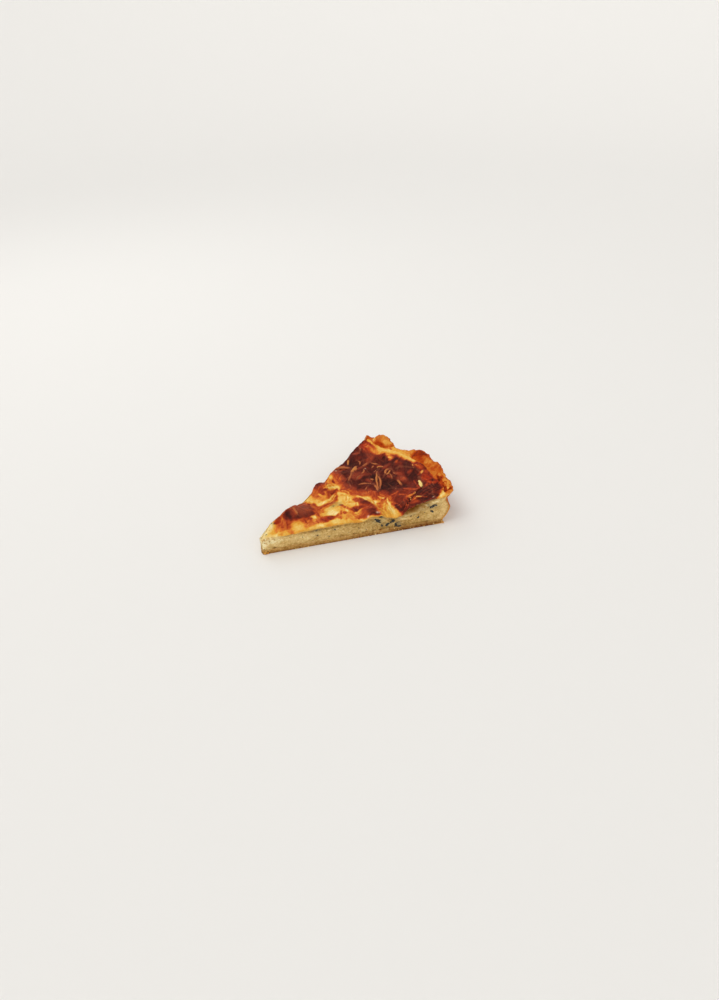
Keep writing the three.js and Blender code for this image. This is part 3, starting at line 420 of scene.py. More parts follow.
# Dark leek in the front cut: points as distance along it and height, and half width. The next list is
# the back cut's, which doesn't show.
FRONT_LEEK = [
    ([(87.4, 16), (88.6, 14.8)], 0.6), ([(88.4, 13), (89.6, 13.8), (91.2, 12.6), (90.4, 11.6)], 1.0),
    ([(89.4, 12.6), (91.6, 13.6)], 0.7), ([(90.4, 17.6), (92.8, 17), (95, 15.6)], 0.45),
    ([(96.2, 15.4), (97, 14.8)], 0.55), ([(92.6, 9.2), (93.4, 7.2)], 0.6),
    ([(96.2, 6.8), (97.4, 8.4), (99, 9.4)], 0.6), ([(99.6, 9.4), (100.4, 10)], 0.45),
    ([(100.6, 9.8), (101.8, 10.6), (103, 9.8)], 0.75), ([(104, 8.4), (103.8, 6.6), (105.2, 5.2)], 0.6),
    ([(105, 5.2), (106.8, 4.8), (108.2, 5.8)], 0.5), ([(104.4, 8.2), (106, 8.8), (107.4, 8.4)], 0.35),
    ([(43, 14.4), (44.2, 13.6)], 0.36), ([(43.6, 9.4), (44.8, 9)], 0.38), ([(52.6, 7), (53, 6)], 0.3),
    ([(56.8, 12.6), (58, 11.6)], 0.36), ([(64.6, 14), (65.4, 13.6)], 0.3), ([(67.2, 7.8), (68.4, 7)], 0.4),
    ([(75, 10), (75.6, 9.2)], 0.35), ([(85, 10.8), (85.4, 10)], 0.35), ([(121, 11), (121.8, 9.6)], 0.65),
    ([(130.6, 16.8), (131.6, 18.6), (134, 19.4), (136, 18.2)], 0.6), ([(132, 17.2), (134, 18.6)], 0.5),
    ([(130.8, 14.6), (132.4, 13.6), (133.6, 12.4)], 0.5), ([(126, 14), (126.8, 13.6)], 0.4),
    ([(115, 12.2), (116.4, 12.8)], 0.35), ([(33, 10.6), (33.6, 10)], 0.25), ([(24, 12), (24.6, 12.6)], 0.25),
    ([(49.6, 15), (50.4, 14.6)], 0.35), ([(80.6, 7.2), (81.4, 6.8)], 0.3),
    ([(111, 12), (113, 12.8), (115.4, 13.4)], 0.25),
]
BACK_LEEK = [
    ([(58, 9), (60, 10.4), (61.6, 9.8)], 0.5), ([(72, 13.4), (74, 12.2)], 0.5),
    ([(79.6, 8.6), (81.6, 9.6)], 0.6), ([(92, 14.4), (94.4, 15), (95.6, 13.6)], 0.6),
    ([(97, 8), (98.4, 9.6), (100.2, 9)], 0.5), ([(109, 12.6), (110.4, 11.4)], 0.6),
    ([(117, 7.4), (118.8, 8)], 0.45), ([(36, 8.4), (37, 9.2)], 0.35), ([(124.6, 14.8), (126.4, 16.2)], 0.6),
    ([(46, 12.6), (47, 12)], 0.35), ([(84, 5.8), (85.2, 6.2)], 0.35),
]
# How much fuller the front's bits above a half width are drawn, and how full the back's are.
LARGE_LEEK, LARGE_LEEK_SWELL, BACK_LEEK_SWELL = 0.42, 1.6, 0.75
# Leek that shows in the top: x, y and half length.
TOP_SPECKS = [
    (18, 4.6, 0.8), (9, 0.9, 0.5), (66, -1, 0.8), (70.6, -2.6, 0.8), (16.4, 5.4, 0.5), (12.6, 2.8, 0.3),
]

# The front cut's crumb: distance along it, height, half sizes, and how much paler (above 0) or browner.
# The first spot, high at the tip, is creamy crumb with a painted highlight along its bright edge.
CRUMB_SPOTS = [
    (8, 13.6, 7, 3.4, 0.55), (5, 8, 3.6, 4, 0.36), (10, 10, 5, 4, 0.12), (6, 3, 4, 1.6, 0.2),
    (8.4, 7, 2.4, 2, -0.2), (7.2, 10, 0.9, 0.7, -0.4), (22, 12.6, 8, 1.6, 0.08), (36, 10.4, 17, 1.8, 0.12),
    (34, 7, 8, 1.2, 0.1), (52, 14.4, 30, 1.3, -0.2), (62, 8, 12, 1.6, 0.1), (76, 11, 6, 1.2, -0.08),
    (80, 6.4, 10, 1.4, 0.06), (93, 15, 6, 3.4, 0.2), (99, 13, 5, 1.8, 0.16), (104, 3.6, 14, 1.2, 0.05),
    (112, 10.6, 7, 0.8, 0.45), (108, 11.4, 2.4, 0.7, 0.3), (113, 13.2, 4, 0.8, 0.4),
    (118, 15, 3.4, 0.8, 0.45), (123, 17.4, 3.4, 0.9, 0.4), (127.4, 19.8, 2.4, 0.9, 0.35),
    (132, 21.6, 4.4, 1.6, 0.3), (137.6, 23, 3.4, 4, 0.36), (133, 12, 8, 5, 0.24), (122, 8, 9, 1.8, 0.06),
]
# Herb stains, and painted shadow by the pocket: distance, height, half sizes, strength. The next list is the
# top's own.
STAINS_AND_SHADOW = [
    (90, 13.4, 5, 2.4, 0.35), (97, 9, 5, 2, 0.3), (106, 7, 2.4, 2, 0.6), (124, 16.6, 6, 1.2, 0.3),
    (117, 13.6, 5, 1, 0.3), (132.6, 18.4, 4, 2.2, 0.4), (129, 20.4, 1, 1.6, 0.7), (43.4, 14, 3.4, 1.5, 0.55),
    (44, 9.4, 2, 1, 0.4), (52.8, 6.6, 1.4, 1, 0.3), (57, 12.6, 2.4, 1.2, 0.3),
]
TOP_STAINS = [
    (66, -0.8, 3.4, 1.5, 0.6), (70.8, -2.6, 1.9, 1, 0.8), (72, 0.6, 3, 1.6, 0.4), (69, 2, 3, 1, 0.3),
    (16.6, 5.2, 1.6, 0.8, 0.5), (9, 0.8, 0.9, 0.8, 0.7), (98, -30, 2, 6, 0.15),
]
# The brown shade of the pocket under the lifted skin: distance, height, half sizes and strength.
POCKET = [
    (115.6, 17.2, 3.6, 2.4, 0.95), (120.6, 20, 5, 2.4, 1.0), (126, 22.2, 3, 1.2, 0.8),
    (111.6, 15, 1.6, 1, 0.4),
]
# How pale the crumb is along each cut: distance and tone.
CUT_TONE = [(4, 0.6), (20, 0.6), (48, 0.5), (58, 0.47), (80, 0.42), (90, 0.33), (124, 0.33), (136, 0.36)]

# Browning of the rim's inner side and crest: angle, millimetres outward from the crest, half sizes, level.
RIM_SPOTS = [
    (-17, -2.5, 3.2, 3.5, 0.44), (-16.2, -3, 1.2, 1.6, 0.36), (-18.2, -1.4, 1, 1.2, 0.44),
    (-20.9, -3, 0.6, 4, 0.4), (-21.6, -3, 0.4, 4, 0.32), (-19.9, -2.8, 0.35, 2.2, 0.84),
    (-19.3, -4.1, 0.5, 0.9, 0.16), (-18.4, -5, 0.7, 0.7, 0.86), (-14, -3, 0.7, 1.8, 0.76),
    (-14.2, -5, 1.4, 1.2, 0.88), (-13.9, -0.6, 0.5, 1.2, 0.34), (-12.4, -4.2, 0.8, 1.2, 0.38),
    (-12.6, -1.6, 1, 1.2, 0.46), (-10.6, -1.6, 0.7, 1.2, 0.68), (-9, -3.8, 0.6, 1.8, 0.72),
    (-8.8, -6.8, 1, 1.4, 0.72), (-7.6, -1, 0.5, 2, 0.46), (-6, -0.6, 0.6, 1, 0.36),
    (-4.6, -4.8, 0.9, 1.8, 0.42), (-6, -3.4, 0.5, 1.6, 0.5), (-1.5, -3.6, 2.5, 5.6, 0.84),
    (-2.8, -4.8, 0.9, 2.2, 0.68), (0.2, -4.6, 0.9, 4.6, 0.92), (-1.6, -0.2, 2.6, 0.8, 0.66),
    (-13.6, -5.6, 1.6, 0.9, 0.94), (-17.6, -6.2, 2, 0.9, 0.9), (-19.4, -5.6, 0.9, 1.2, 0.84),
    (-16, -5, 1.4, 0.8, 0.72), (2.3, -1, 1.5, 1.6, 0.58), (3.6, -0.4, 0.8, 1.6, 0.66),
    (3.2, -4.4, 1.4, 2.8, 0.38), (2.8, -7.8, 1.3, 2.2, 0.3), (5.4, -2.4, 1.3, 2.4, 0.34),
    (6.8, -3, 1.8, 1.6, 0.34), (8.3, -0.8, 1.2, 1.9, 0.04), (6.2, -0.4, 0.9, 1, 0.1),
    (7.4, -4.7, 2.2, 0.7, 0.12), (9.2, -5.4, 0.5, 2.2, 0.16), (10.6, -8.2, 1.1, 0.8, 0.2),
    (9.9, -3.6, 0.45, 4, 0.64), (13, -2.6, 2.8, 4.2, 0.42), (12.2, -4.6, 0.9, 1.8, 0.3),
    (11, -2, 0.7, 2, 0.34), (14.6, -4, 0.8, 1.4, 0.52), (13.6, -0.6, 0.9, 1, 0.46),
    (13.4, -7.8, 3, 1.1, 0.74), (16.2, -2, 0.5, 2.4, 0.5), (17.2, -2.4, 0.4, 3, 0.14),
    (16.6, -5.6, 0.4, 1.4, 0.3), (18.6, -2, 0.8, 2.2, 0.62), (19.6, -4.6, 0.8, 1.4, 0.8),
    (19.9, -0.6, 0.6, 1, 0.62),
]

# Strands of cheese melted into the top: how many, and the field they are drawn from.
SHRED_COUNT, SHRED_X, SHRED_Y = 300, (12, 142), (-52, 50)
# Crumbs along the foot of the cuts: how many, and from where to where along a cut.
CRUMB_COUNT, CRUMB_RUN = 110, (5, 142)
# Crumbs that show one by one: distance along the front cut, height, half size, browning and how pale inside.
SINGLE_CRUMBS = [
    (5.4, 1.3, 1.1, 0.3, 0.3), (7.4, 0.9, 0.8, 0.36, 0.2), (6.4, 3, 0.8, 0.24, 0.6),
    (8.6, 2.4, 0.6, 0.3, 0.3), (142.2, 1, 0.8, 0.36, 0.3), (141.4, 2.4, 0.6, 0.3, 0.5), (5, 13.8, 1.2, 0, 1),
    (6.8, 12.6, 1, 0, 1), (8.6, 14, 1.1, 0, 1), (10.4, 12.8, 0.9, 0, 1), (12.2, 13.8, 1, 0, 1),
    (13.4, 12.2, 0.6, 0, 1), (9.4, 11.4, 0.5, 0, 1), (6, 10.6, 0.5, 0, 1), (15, 14, 0.5, 0, 1),
    (11.6, 14.8, 0.5, 0, 1), (4.4, 11.6, 0.6, 0, 1), (37, 0.4, 0.5, 0.1, 1), (75, 0.3, 0.4, 0.5, 0.2),
    (95.4, 3.2, 0.7, 0.05, 1), (103, 3.4, 0.6, 0.05, 1), (96.6, 2.8, 0.4, 0.05, 1),
    (110.4, 9.2, 0.5, 0.05, 1), (86, 7, 0.4, 0.05, 1), (30, 3.6, 0.5, 0.1, 1),
]


def smooth(x, low, high):
    """0 below low, 1 above high, eased between."""
    t = np.clip((x - low) / (high - low), 0, 1)
    return t * t * (3 - 2 * t)


def eased(rows, x, column=1):
    """A value read from rows that rise in their first number, eased between them."""
    rows = np.array(rows, dtype=float)
    i = np.clip(np.searchsorted(rows[:, 0], x, side="right") - 1, 0, len(rows) - 2)
    share = smooth(x, rows[i, 0], rows[i + 1, 0])
    return rows[i, column] * (1 - share) + rows[i + 1, column] * share


def hill(a, b):
    """1 in the middle, about a third at the half size and next to nothing at twice that."""
    return np.exp(-(a * a + b * b))


def turned(x, y, at_x, at_y, turn):
    """Distances along and across a direction, from a place."""
    c, s = math.cos(math.radians(turn)), math.sin(math.radians(turn))
    return (x - at_x) * c + (y - at_y) * s, (y - at_y) * c - (x - at_x) * s


LATTICE_SIDE = 32
LATTICE = np.random.default_rng(SEED).random((LATTICE_SIDE,) * 3) * 2 - 1


def noise(points, size, shift=0.0):
    """Smooth noise from -1 to 1 of a grain size in millimetres."""
    p = np.asarray(points, dtype=float) / size + shift
    cell = np.floor(p).astype(int)
    f = p - cell
    f = f * f * (3 - 2 * f)
    total = 0.0
    for corner in np.ndindex(2, 2, 2):
        weight = np.prod([f[..., k] if corner[k] else 1 - f[..., k] for k in range(3)], axis=0)
        i, j, k = [(cell[..., axis] + corner[axis]) % LATTICE_SIDE for axis in range(3)]
        total = total + weight * LATTICE[i, j, k]
    return total


def flat(x, y):
    """Points in the plane, for noise that is the same at every height."""
    return np.stack([x, y, np.zeros_like(x)], axis=-1)


def shares(**facts):
    """Values by name, each kept from 0 to 1."""
    return {key: np.clip(values, 0, 1) for key, values in facts.items()}


def top_height(x, y):
    """Height of the filling's top, as the solid has it."""
    radius, angle = np.hypot(x, y), np.degrees(np.arctan2(y, x))
    aside = np.clip(angle / np.where(angle < 0, -FRONT_CUT, BACK_CUT), -1, 1)
    edge = np.where(aside < 0, eased(FRONT_TOP, radius), eased(BACK_TOP, radius))
    ripple = 0.3 * np.sin(0.31 * x + 0.2 * y) * np.sin(0.13 * x - 0.37 * y)
    lumps = 0.0
    for at_x, at_y, long, wide, turn, high in LUMPS:
        along, across = turned(x, y, at_x, at_y, turn)
        lumps = lumps + high * hill(along / long, across / wide)
    outward = smooth(np.abs(aside), 0.25, 1)
    plain = eased(MIDDLE_TOP, radius) * (1 - outward) + edge * outward
    return plain + (lumps + ripple) * (1 - outward / 2)


def face_point(rows, share):
    """A point on the smooth curve through the rows, by share of their number."""
    rows = np.array(rows, dtype=float)
    at = np.asarray(share, dtype=float) * (len(rows) - 1)
    i = np.minimum(np.floor(at).astype(int), len(rows) - 2)
    t = (at - i)[..., None]
    before, start = rows[np.maximum(i - 1, 0)], rows[i]
    end, after = rows[i + 1], rows[np.minimum(i + 2, len(rows) - 1)]
    pull, push = (end - before) / 2, (after - start) / 2
    cubed, squared = 2 * start - 2 * end + pull + push, 3 * end - 3 * start - 2 * pull - push
    return cubed * t**3 + squared * t**2 + pull * t + start


def pastry_section(along, across, angle):
    """Radius and height of the pastry at shares along and across its section, at an angle."""
    outer, inner = face_point(OUTER_FACE, along), face_point(INNER_FACE, along)
    outer[..., 1] = np.maximum(0, outer[..., 1])
    point = outer * (1 - across)[..., None] + inner * across[..., None]
    radius, height = point[..., 0], point[..., 1]
    climb = smooth(height, RIM_START, RIM_HEIGHT)
    radius = radius + (eased(CREST, angle, 2) - OUTER_FACE[-1][0]) * climb**RIM_LEAN
    for at, level, wide, high, swell in BLISTERS:
        share = hill((angle - at) / wide, (height - level) / high)
        radius = radius + swell * share * (1 - across * (1 + climb)) * (height > 0)
    return radius, height + (eased(CREST, angle, 1) - RIM_HEIGHT) * climb


def inner_radius(height, angle):
    """Radius of the pastry's inner face at a height, for one angle."""
    along = np.linspace(BASE_SHARE + 0.02, 1, WALL_SAMPLES)
    radius, level = pastry_section(along, np.ones(WALL_SAMPLES), np.full(WALL_SAMPLES, angle))
    return np.interp(height, level, radius)


def spread(out, height, spots):
    """Sum of soft spots, each with its own strength."""
    return sum(share * hill((out - s) / long, (height - z) / high) for s, z, long, high, share in spots)


def cut_dent(along, drop):
    """How far the front cut stands back, by distance along it and drop below the top."""
    return spread(along, drop, CUT_DENTS)


def spot_weight(x, y, at_x, at_y, long, wide, turn, soft):
    """1 inside a turned oval, 0 outside it, with a soft edge."""
    along, across = turned(x, y, at_x, at_y, turn)
    return 1 - smooth(np.hypot(along / long, across / wide), 1 - soft, 1 + soft)


def line_distance(x, y, points):
    """Distance to a line through points, in the plane."""
    best = np.full(np.shape(x), 1e9)
    for (ax, ay), (bx, by) in zip(points, points[1:]):
        length2 = (bx - ax) ** 2 + (by - ay) ** 2
        t = np.clip(((x - ax) * (bx - ax) + (y - ay) * (by - ay)) / length2, 0, 1)
        best = np.minimum(best, np.hypot(x - ax - t * (bx - ax), y - ay - t * (by - ay)))
    return best


def inside_distance(x, y, outline):
    """Distance to a closed outline, above 0 inside it."""
    inside = np.zeros(np.shape(x), dtype=bool)
    closed = outline + outline[:1]
    for (ax, ay), (bx, by) in zip(closed, closed[1:]):
        crosses = (ay > y) != (by > y)
        crossing = ax + (y - ay) * (bx - ax) / np.where(by == ay, 1e-9, by - ay)
        inside ^= crosses & (x < crossing)
    away = line_distance(x, y, closed)
    return np.where(inside, away, -away)


def lay(x, y, level, rise, spots=(), lines=(), soft=0.5, lowest=0.0):
    """Lay spots, then lines, over a browning and a rise, each over those before it."""

    def weights():
        for spot in spots:
            yield spot_weight(x, y, *spot[:5], soft)
        for points, half, *_ in lines:
            yield 1 - smooth(line_distance(x, y, points), half * 0.4, half * 1.6)

    for weight, (*_, brown, high) in zip(weights(), (*spots, *lines)):
        level = level + (brown - level) * weight
        rise = rise + (lowest + high - rise) * weight
    return level, rise


def melted_shreds():
    """Seeded strands of cheese melted into the top: middle, half length, half width, turn, tone, rise."""
    draw = np.random.default_rng(SEED + 3)
    shreds = []
    while len(shreds) < SHRED_COUNT:
        x, y = draw.uniform(*SHRED_X), draw.uniform(*SHRED_Y)
        angle = math.degrees(math.atan2(y, x))
        if FRONT_CUT < angle < BACK_CUT:
            turn = 55 + 45 * draw.standard_normal()
            long, wide = draw.uniform(2, 7), draw.uniform(0.3, 0.7)
            shreds.append((x, y, long, wide, turn, draw.normal(0, 0.1), draw.uniform(0.05, 0.3)))
    return shreds


SHREDS = melted_shreds()


def painted(x, y):
    """Browning, rise, and film of the top: melted cheese and a painted pinkish sheen. From its spots and
    lines, the dark plateau and the cheese.
    """
    here = flat(x, y)
    wx = x + 0.6 * noise(here, 5, 3.1) + 0.35 * noise(here, 1.9, 5.7)
    wy = y + 0.6 * noise(here, 5, 9.4) + 0.35 * noise(here, 1.9, 12.2)
    level, rise = lay(wx, wy, 0.08 + 0.2 * smooth(x, 8, 26), np.zeros_like(x), SPOTS, LINES)
    inside = inside_distance(wx, wy, PLATEAU)
    band = smooth(inside, -4.5, -0.5) * (0.75 + 0.5 * noise(here, 3, 33.3))
    gap = np.hypot(x - BAND_GAP[0], y - BAND_GAP[1])
    band = band * smooth(gap, 6, 12) * (1 - smooth(x, BAND_END, BAND_END + 4))
    level = level + np.clip(band, 0, 1) * np.maximum(BAND_LEVEL - level, 0)
    dark = smooth(inside + 0.7 * noise(here, 1.6, 35.1), -1.2, 1.8)
    mottling = 0.08 * noise(here, 6, 20.5) + 0.05 * noise(here, 2.4, 2.9)
    skin = 0.86 - 0.12 * (1 - smooth(inside, 1, 5)) + mottling
    skin, skin_rise = lay(wx, wy, skin, np.full_like(x, 0.4), PLATEAU_SPOTS, soft=0.6, lowest=0.3)
    # Painted pinkish sheen on the paler parts of the dark skin towards the front.
    cheese_film_and_sheen = 0.22 * dark * smooth(0.86 - skin, 0.02, 0.26) * smooth(y, -22, -10) * (1 - smooth(x, 124, 132))
    skin, skin_rise = lay(wx, wy, skin, skin_rise, lines=PLATEAU_LINES, lowest=0.3)
    level, rise = level + (skin - level) * dark, rise + (skin_rise - rise) * dark
    level, rise, cheese_film_and_sheen = with_cheese(wx, wy, level, rise, cheese_film_and_sheen)
    level = level + 0.05 * noise(here, 3.2, 14.6) + 0.05 * noise(here, 1.1, 16.1)
    grit = (0.16 * noise(here, 1.8, 4.4) + 0.1 * noise(here, 0.9, 8.8)) * (0.3 + level)
    return np.clip(level, 0, 1), rise + 0.25 * noise(here, 4.5, 1.7) + grit, np.clip(cheese_film_and_sheen, 0, 1)


def with_cheese(x, y, level, rise, cheese_film_and_sheen):
    """The top with cheese melted into it: faint lines where it is pale, a film of melted cheese where it is
    dark.
    """
    level, rise, cheese_film_and_sheen = level.copy(), rise.copy(), cheese_film_and_sheen.copy()
    for at_x, at_y, long, wide, turn, tone, high in SHREDS:
        near = (np.abs(x - at_x) < long + 1) & (np.abs(y - at_y) < long + 1)
        bend = 0.04 * (x[near] - at_x) ** 2 - 0.03 * (y[near] - at_y) ** 2
        along, across = turned(x[near], y[near], at_x, at_y, turn)
        weight = 1 - smooth(np.hypot(along / long, (across + 0.5 * bend) / wide), 0.4, 1.4)
        browned, dark = smooth(level[near], 0.15, 0.5), smooth(level[near], 0.58, 0.78)
        level[near] += weight * (tone - 0.02) * (0.3 + 0.6 * browned) * (1 - 0.7 * dark)
        cheese_film_and_sheen[near] += weight * dark * max(0, 0.1 - tone) * 1.3
        rise[near] += weight * high * (0.3 + 0.7 * browned)
    for points, half, _ in STRANDS:
        weight = 1 - smooth(line_distance(x, y, points), half * 0.8, half * 1.7)
        cheese_film_and_sheen += 0.3 * weight * smooth(level, 0.5, 0.7)
    return level, rise, cheese_film_and_sheen


def top_paint(x, y):
    """The painted top. The places were read off the photo at the plain height, and what stands higher
    shows farther from the camera, so each place is looked up that much farther off."""
    _, lift, _ = painted(x, y)
    return painted(x + FARTHER[0] * lift, y + FARTHER[1] * lift)


class Shell:
    """Points and faces of one piece, gathered patch by patch in millimetres."""

    def __init__(self):
        self.points, self.faces, self.size = [], [], 0

    def add(self, points):
        """Add points in any grid, and give back their numbers in the same grid."""
        points = np.asarray(points, dtype=float)
        ids = np.arange(self.size, self.size + points[..., 0].size).reshape(points.shape[:-1])
        self.points.append(points.reshape(-1, 3))
        self.size += ids.size
        return ids

    def quads(self, ids, flip=False):
        """Faces between the rows and columns of a grid of points."""
        quad = np.stack([ids[:-1, :-1], ids[1:, :-1], ids[1:, 1:], ids[:-1, 1:]], axis=-1).reshape(-1, 4)
        self.faces.extend((quad[:, ::-1] if flip else quad).tolist())

    def polygon(self, ids):
        self.faces.append([int(i) for i in ids])

    def closed(self, rings):
        """A closed form through rings of points."""
        ids = self.add(rings)
        self.quads(np.concatenate([ids, ids[:, :1]], axis=1))
        self.polygon(ids[0])
        self.polygon(ids[-1, ::-1])

    def all_points(self):
        return np.concatenate(self.points)

    def piece(self, name, material, slot, **attributes):
        """The finished piece, with values for its points."""
        mesh = bpy.data.meshes.new(name)
        mesh.from_pydata(((self.all_points() + PIE_CENTRE) * MM).tolist(), [], self.faces)
        for key, values in attributes.items():
            data = mesh.attributes.new(key, "FLOAT", "POINT").data
            data.foreach_set("value", np.asarray(values, dtype=np.float32))
        mesh.polygons.foreach_set("use_smooth", [True] * len(mesh.polygons))
        mesh.materials.append(material)
        mesh.update()
        made = bpy.data.objects.new(name, mesh)
        bpy.context.scene.collection.objects.link(made)
        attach(made, "root")
        return made


def rgb(code):
    """A linear colour from the usual six-figure code."""
    parts = [int(code[i : i + 2], 16) / 255 for i in (0, 2, 4)]
    return tuple(p / 12.92 if p <= 0.04045 else ((p + 0.055) / 1.055) ** 2.4 for p in parts)


def rgba(tone):
    """A colour for a socket, from a six-figure code or a grey from 0 to 1."""
    return (*(rgb(tone) if isinstance(tone, str) else (tone,) * 3), 1)


class Look:
    """A material being put together: its shader, and short ways to add nodes to it."""

    def __init__(self, name):
        self.material = bpy.data.materials.new(name)
        self.material.use_nodes = True
        self.tree = self.material.node_tree
        self.shader = next(node for node in self.tree.nodes if node.type == "BSDF_PRINCIPLED")

    def add(self, kind, **settings):
        """A new node, with inputs or properties set by name."""
        node = self.tree.nodes.new(kind)
        for key, value in settings.items():
            if key in node.inputs:
                node.inputs[key].default_value = value
            else:
                setattr(node, key, value)
        return node

    def feed(self, socket, value):
        """Link another node's output to a socket, or set the socket to a value."""
        if isinstance(value, bpy.types.NodeSocket):
            self.tree.links.new(value, socket)
        else:
            socket.default_value = rgba(value) if socket.type == "RGBA" else value

    def ramp(self, stops, value):
        """Colours or greys picked by a value from 0 to 1."""
        node = self.add("ShaderNodeValToRGB")
        elements = node.color_ramp.elements
        while len(elements) < len(stops):
            elements.new(0.5)
        for element, (place, tone) in zip(elements, stops):
            element.position = place
            element.color = rgba(tone)
        self.feed(node.inputs[0], value)
        return node.outputs[0]

    def mix(self, share, first, second):
        """Two colours mixed by a share."""
        node = self.add("ShaderNodeMix", data_type="RGBA")
        for place, value in ((0, share), (6, first), (7, second)):
            self.feed(node.inputs[place], value)
        return node.outputs[2]

    def maths(self, operation, first, second, clamp=False):
        node = self.add("ShaderNodeMath", operation=operation, use_clamp=clamp)
        self.feed(node.inputs[0], first)
        self.feed(node.inputs[1], second)
        return node.outputs[0]

    def grain(self, size, detail=3.0, roughness=0.6):
        """Noise over the object's own space, with a grain size in millimetres."""
        node = self.add("ShaderNodeTexNoise", Scale=1 / (size * MM), Detail=detail, Roughness=roughness)
        self.feed(node.inputs["Vector"], self.add("ShaderNodeTexCoord").outputs["Object"])
        return node.outputs["Fac"]

    def fact(self, name):
        """A value that the mesh's points carry."""
        return self.add("ShaderNodeAttribute", attribute_name=name).outputs["Fac"]

    def grained(self, name, amount, *grain):
        """A value that the points carry, with noise laid over it."""
        uneven = self.maths("MULTIPLY", self.maths("SUBTRACT", self.grain(*grain), 0.5), amount)
        return self.maths("ADD", self.fact(name), uneven, clamp=True)

    def finish(self, colour, roughness, bumps, settings):
        """Fill in the shader. The bumps are strength, depth in millimetres, and grain."""
        strength, depth, *grain = bumps
        bump = self.add("ShaderNodeBump", Strength=strength, Distance=depth * MM)
        self.feed(bump.inputs["Height"], self.grain(*grain))
        every = {"Base Color": colour, "Roughness": roughness, "Normal": bump.outputs[0], **settings}
        for key, value in every.items():
            self.feed(self.shader.inputs[key], value)
        return self.material


def scattering(weight, scale):
    """Settings for light that goes a little way into the food, with a scale in millimetres."""
    radius = (1.0, 0.5, 0.25)
    return {"Subsurface Weight": weight, "Subsurface Radius": radius, "Subsurface Scale": scale * MM}


def filling_material():
    look = Look("baked_egg")
    brown, stain = look.grained("browning", 0.16, 1.3), look.fact("stain")
    top = look.mix(look.fact("glassy"), look.ramp(SKIN_COLOURS, brown), GLASSY_RED)
    # The film mixes in melted cheese and a painted pinkish sheen.
    top = look.mix(look.fact("cheese_film_and_sheen"), top, FILM_AND_SHEEN)
    top = look.mix(stain, top, HERB_ON_SKIN)
    # Painted glint: the wet spots' colour is mixed towards a pale pink.
    top = look.mix(look.maths("MULTIPLY", look.fact("wet_glint"), 0.7), top, PAINTED_GLINT)
    inside = look.ramp(EGG_CRUMB_COLOURS, look.grained("tone", 1.35, 1.3, 6.0, 0.75))
    # Herb stains and painted shadow by the pocket, in the cut's crumb.
    inside = look.mix(stain, inside, HERB_AND_SHADE_IN_CRUMB)
    inside = look.mix(look.fact("shade"), inside, EGG_SHADE)
    gloss = look.ramp([(0.0, 0.6), (0.5, 0.48), (0.8, 0.62), (1.0, 0.7)], brown)
    roughness = look.mix(look.fact("wet_glint"), look.mix(look.fact("cut"), gloss, 0.78), 0.12)
    colour = look.mix(look.fact("cut"), top, inside)
    settings = {"Specular IOR Level": 0.09, **scattering(0.12, 1.2)}
    return look.finish(colour, roughness, (0.35, 0.3, 0.9, 4.0), settings)


def pastry_material():
    look = Look("baked_shortcrust")
    crust = look.ramp(CRUST_COLOURS, look.grained("browning", 0.22, 1.1, 4.0, 0.7))
    inside = look.ramp(PASTRY_CRUMB_COLOURS, look.grained("tone", 1.0, 1.4, 6.0, 0.75))
    inside = look.mix(look.fact("shade"), inside, PASTRY_SHADE)
    colour = look.mix(look.fact("cut"), crust, inside)
    settings = {"Specular IOR Level": 0.07, **scattering(0.06, 0.8)}
    return look.finish(colour, 0.6, (0.5, 0.35, 0.8, 5.0, 0.7), settings)


def strand_material():
    look = Look("baked_cheese")
    colour = look.ramp(STRAND_COLOURS, look.grained("browning", 0.14, 1.5))
    return look.finish(colour, 0.62, (0.3, 0.2, 0.7), {"Specular IOR Level": 0.08})


def leek_material():
    look = Look("cooked_leek")
    return look.finish(look.ramp(LEEK_COLOURS, look.grain(1.0)), 0.5, (0.3, 0.2, 0.6), {})


def around(radius, angle, height):
    """Places from the radius and the angle in degrees round the pie's centre, and the height."""
    radius, angle, height = np.broadcast_arrays(np.asarray(radius, float), np.asarray(angle, float), height)
    a = np.radians(angle)
    return np.stack([radius * np.cos(a), radius * np.sin(a), height], axis=-1)


def cut_normal(angle):
    """Direction into the food from the cut at an angle."""
    a = math.radians(angle)
    return np.array([-math.sin(a), math.cos(a), 0]) * (1 if angle < 0 else -1)


def cut_distance(radius, angle):
    """Distance to the nearer cut."""
    aside = np.minimum(np.sin(np.radians(angle - FRONT_CUT)), np.sin(np.radians(BACK_CUT - angle)))
    return radius * aside


def reach(share, height, angles):
    """Radius at a share of the way from the tip to the pastry."""
    columns = [inner_radius(height[:, j], angle) for j, angle in enumerate(angles)]
    return TIP_RADIUS + (np.stack(columns, axis=1) + CUT_IN - TIP_RADIUS) * share


def crumble(points, amount):
    """The small unevenness of a cut: coarse and fine crumb, and holes."""
    holes = smooth(noise(points, 2.3, 31.0), 0.4, 0.75)
    return amount * (0.35 * noise(points, 3.4, 25.0) + 0.3 * noise(points, 1.3, 27.0) + 0.7 * holes)


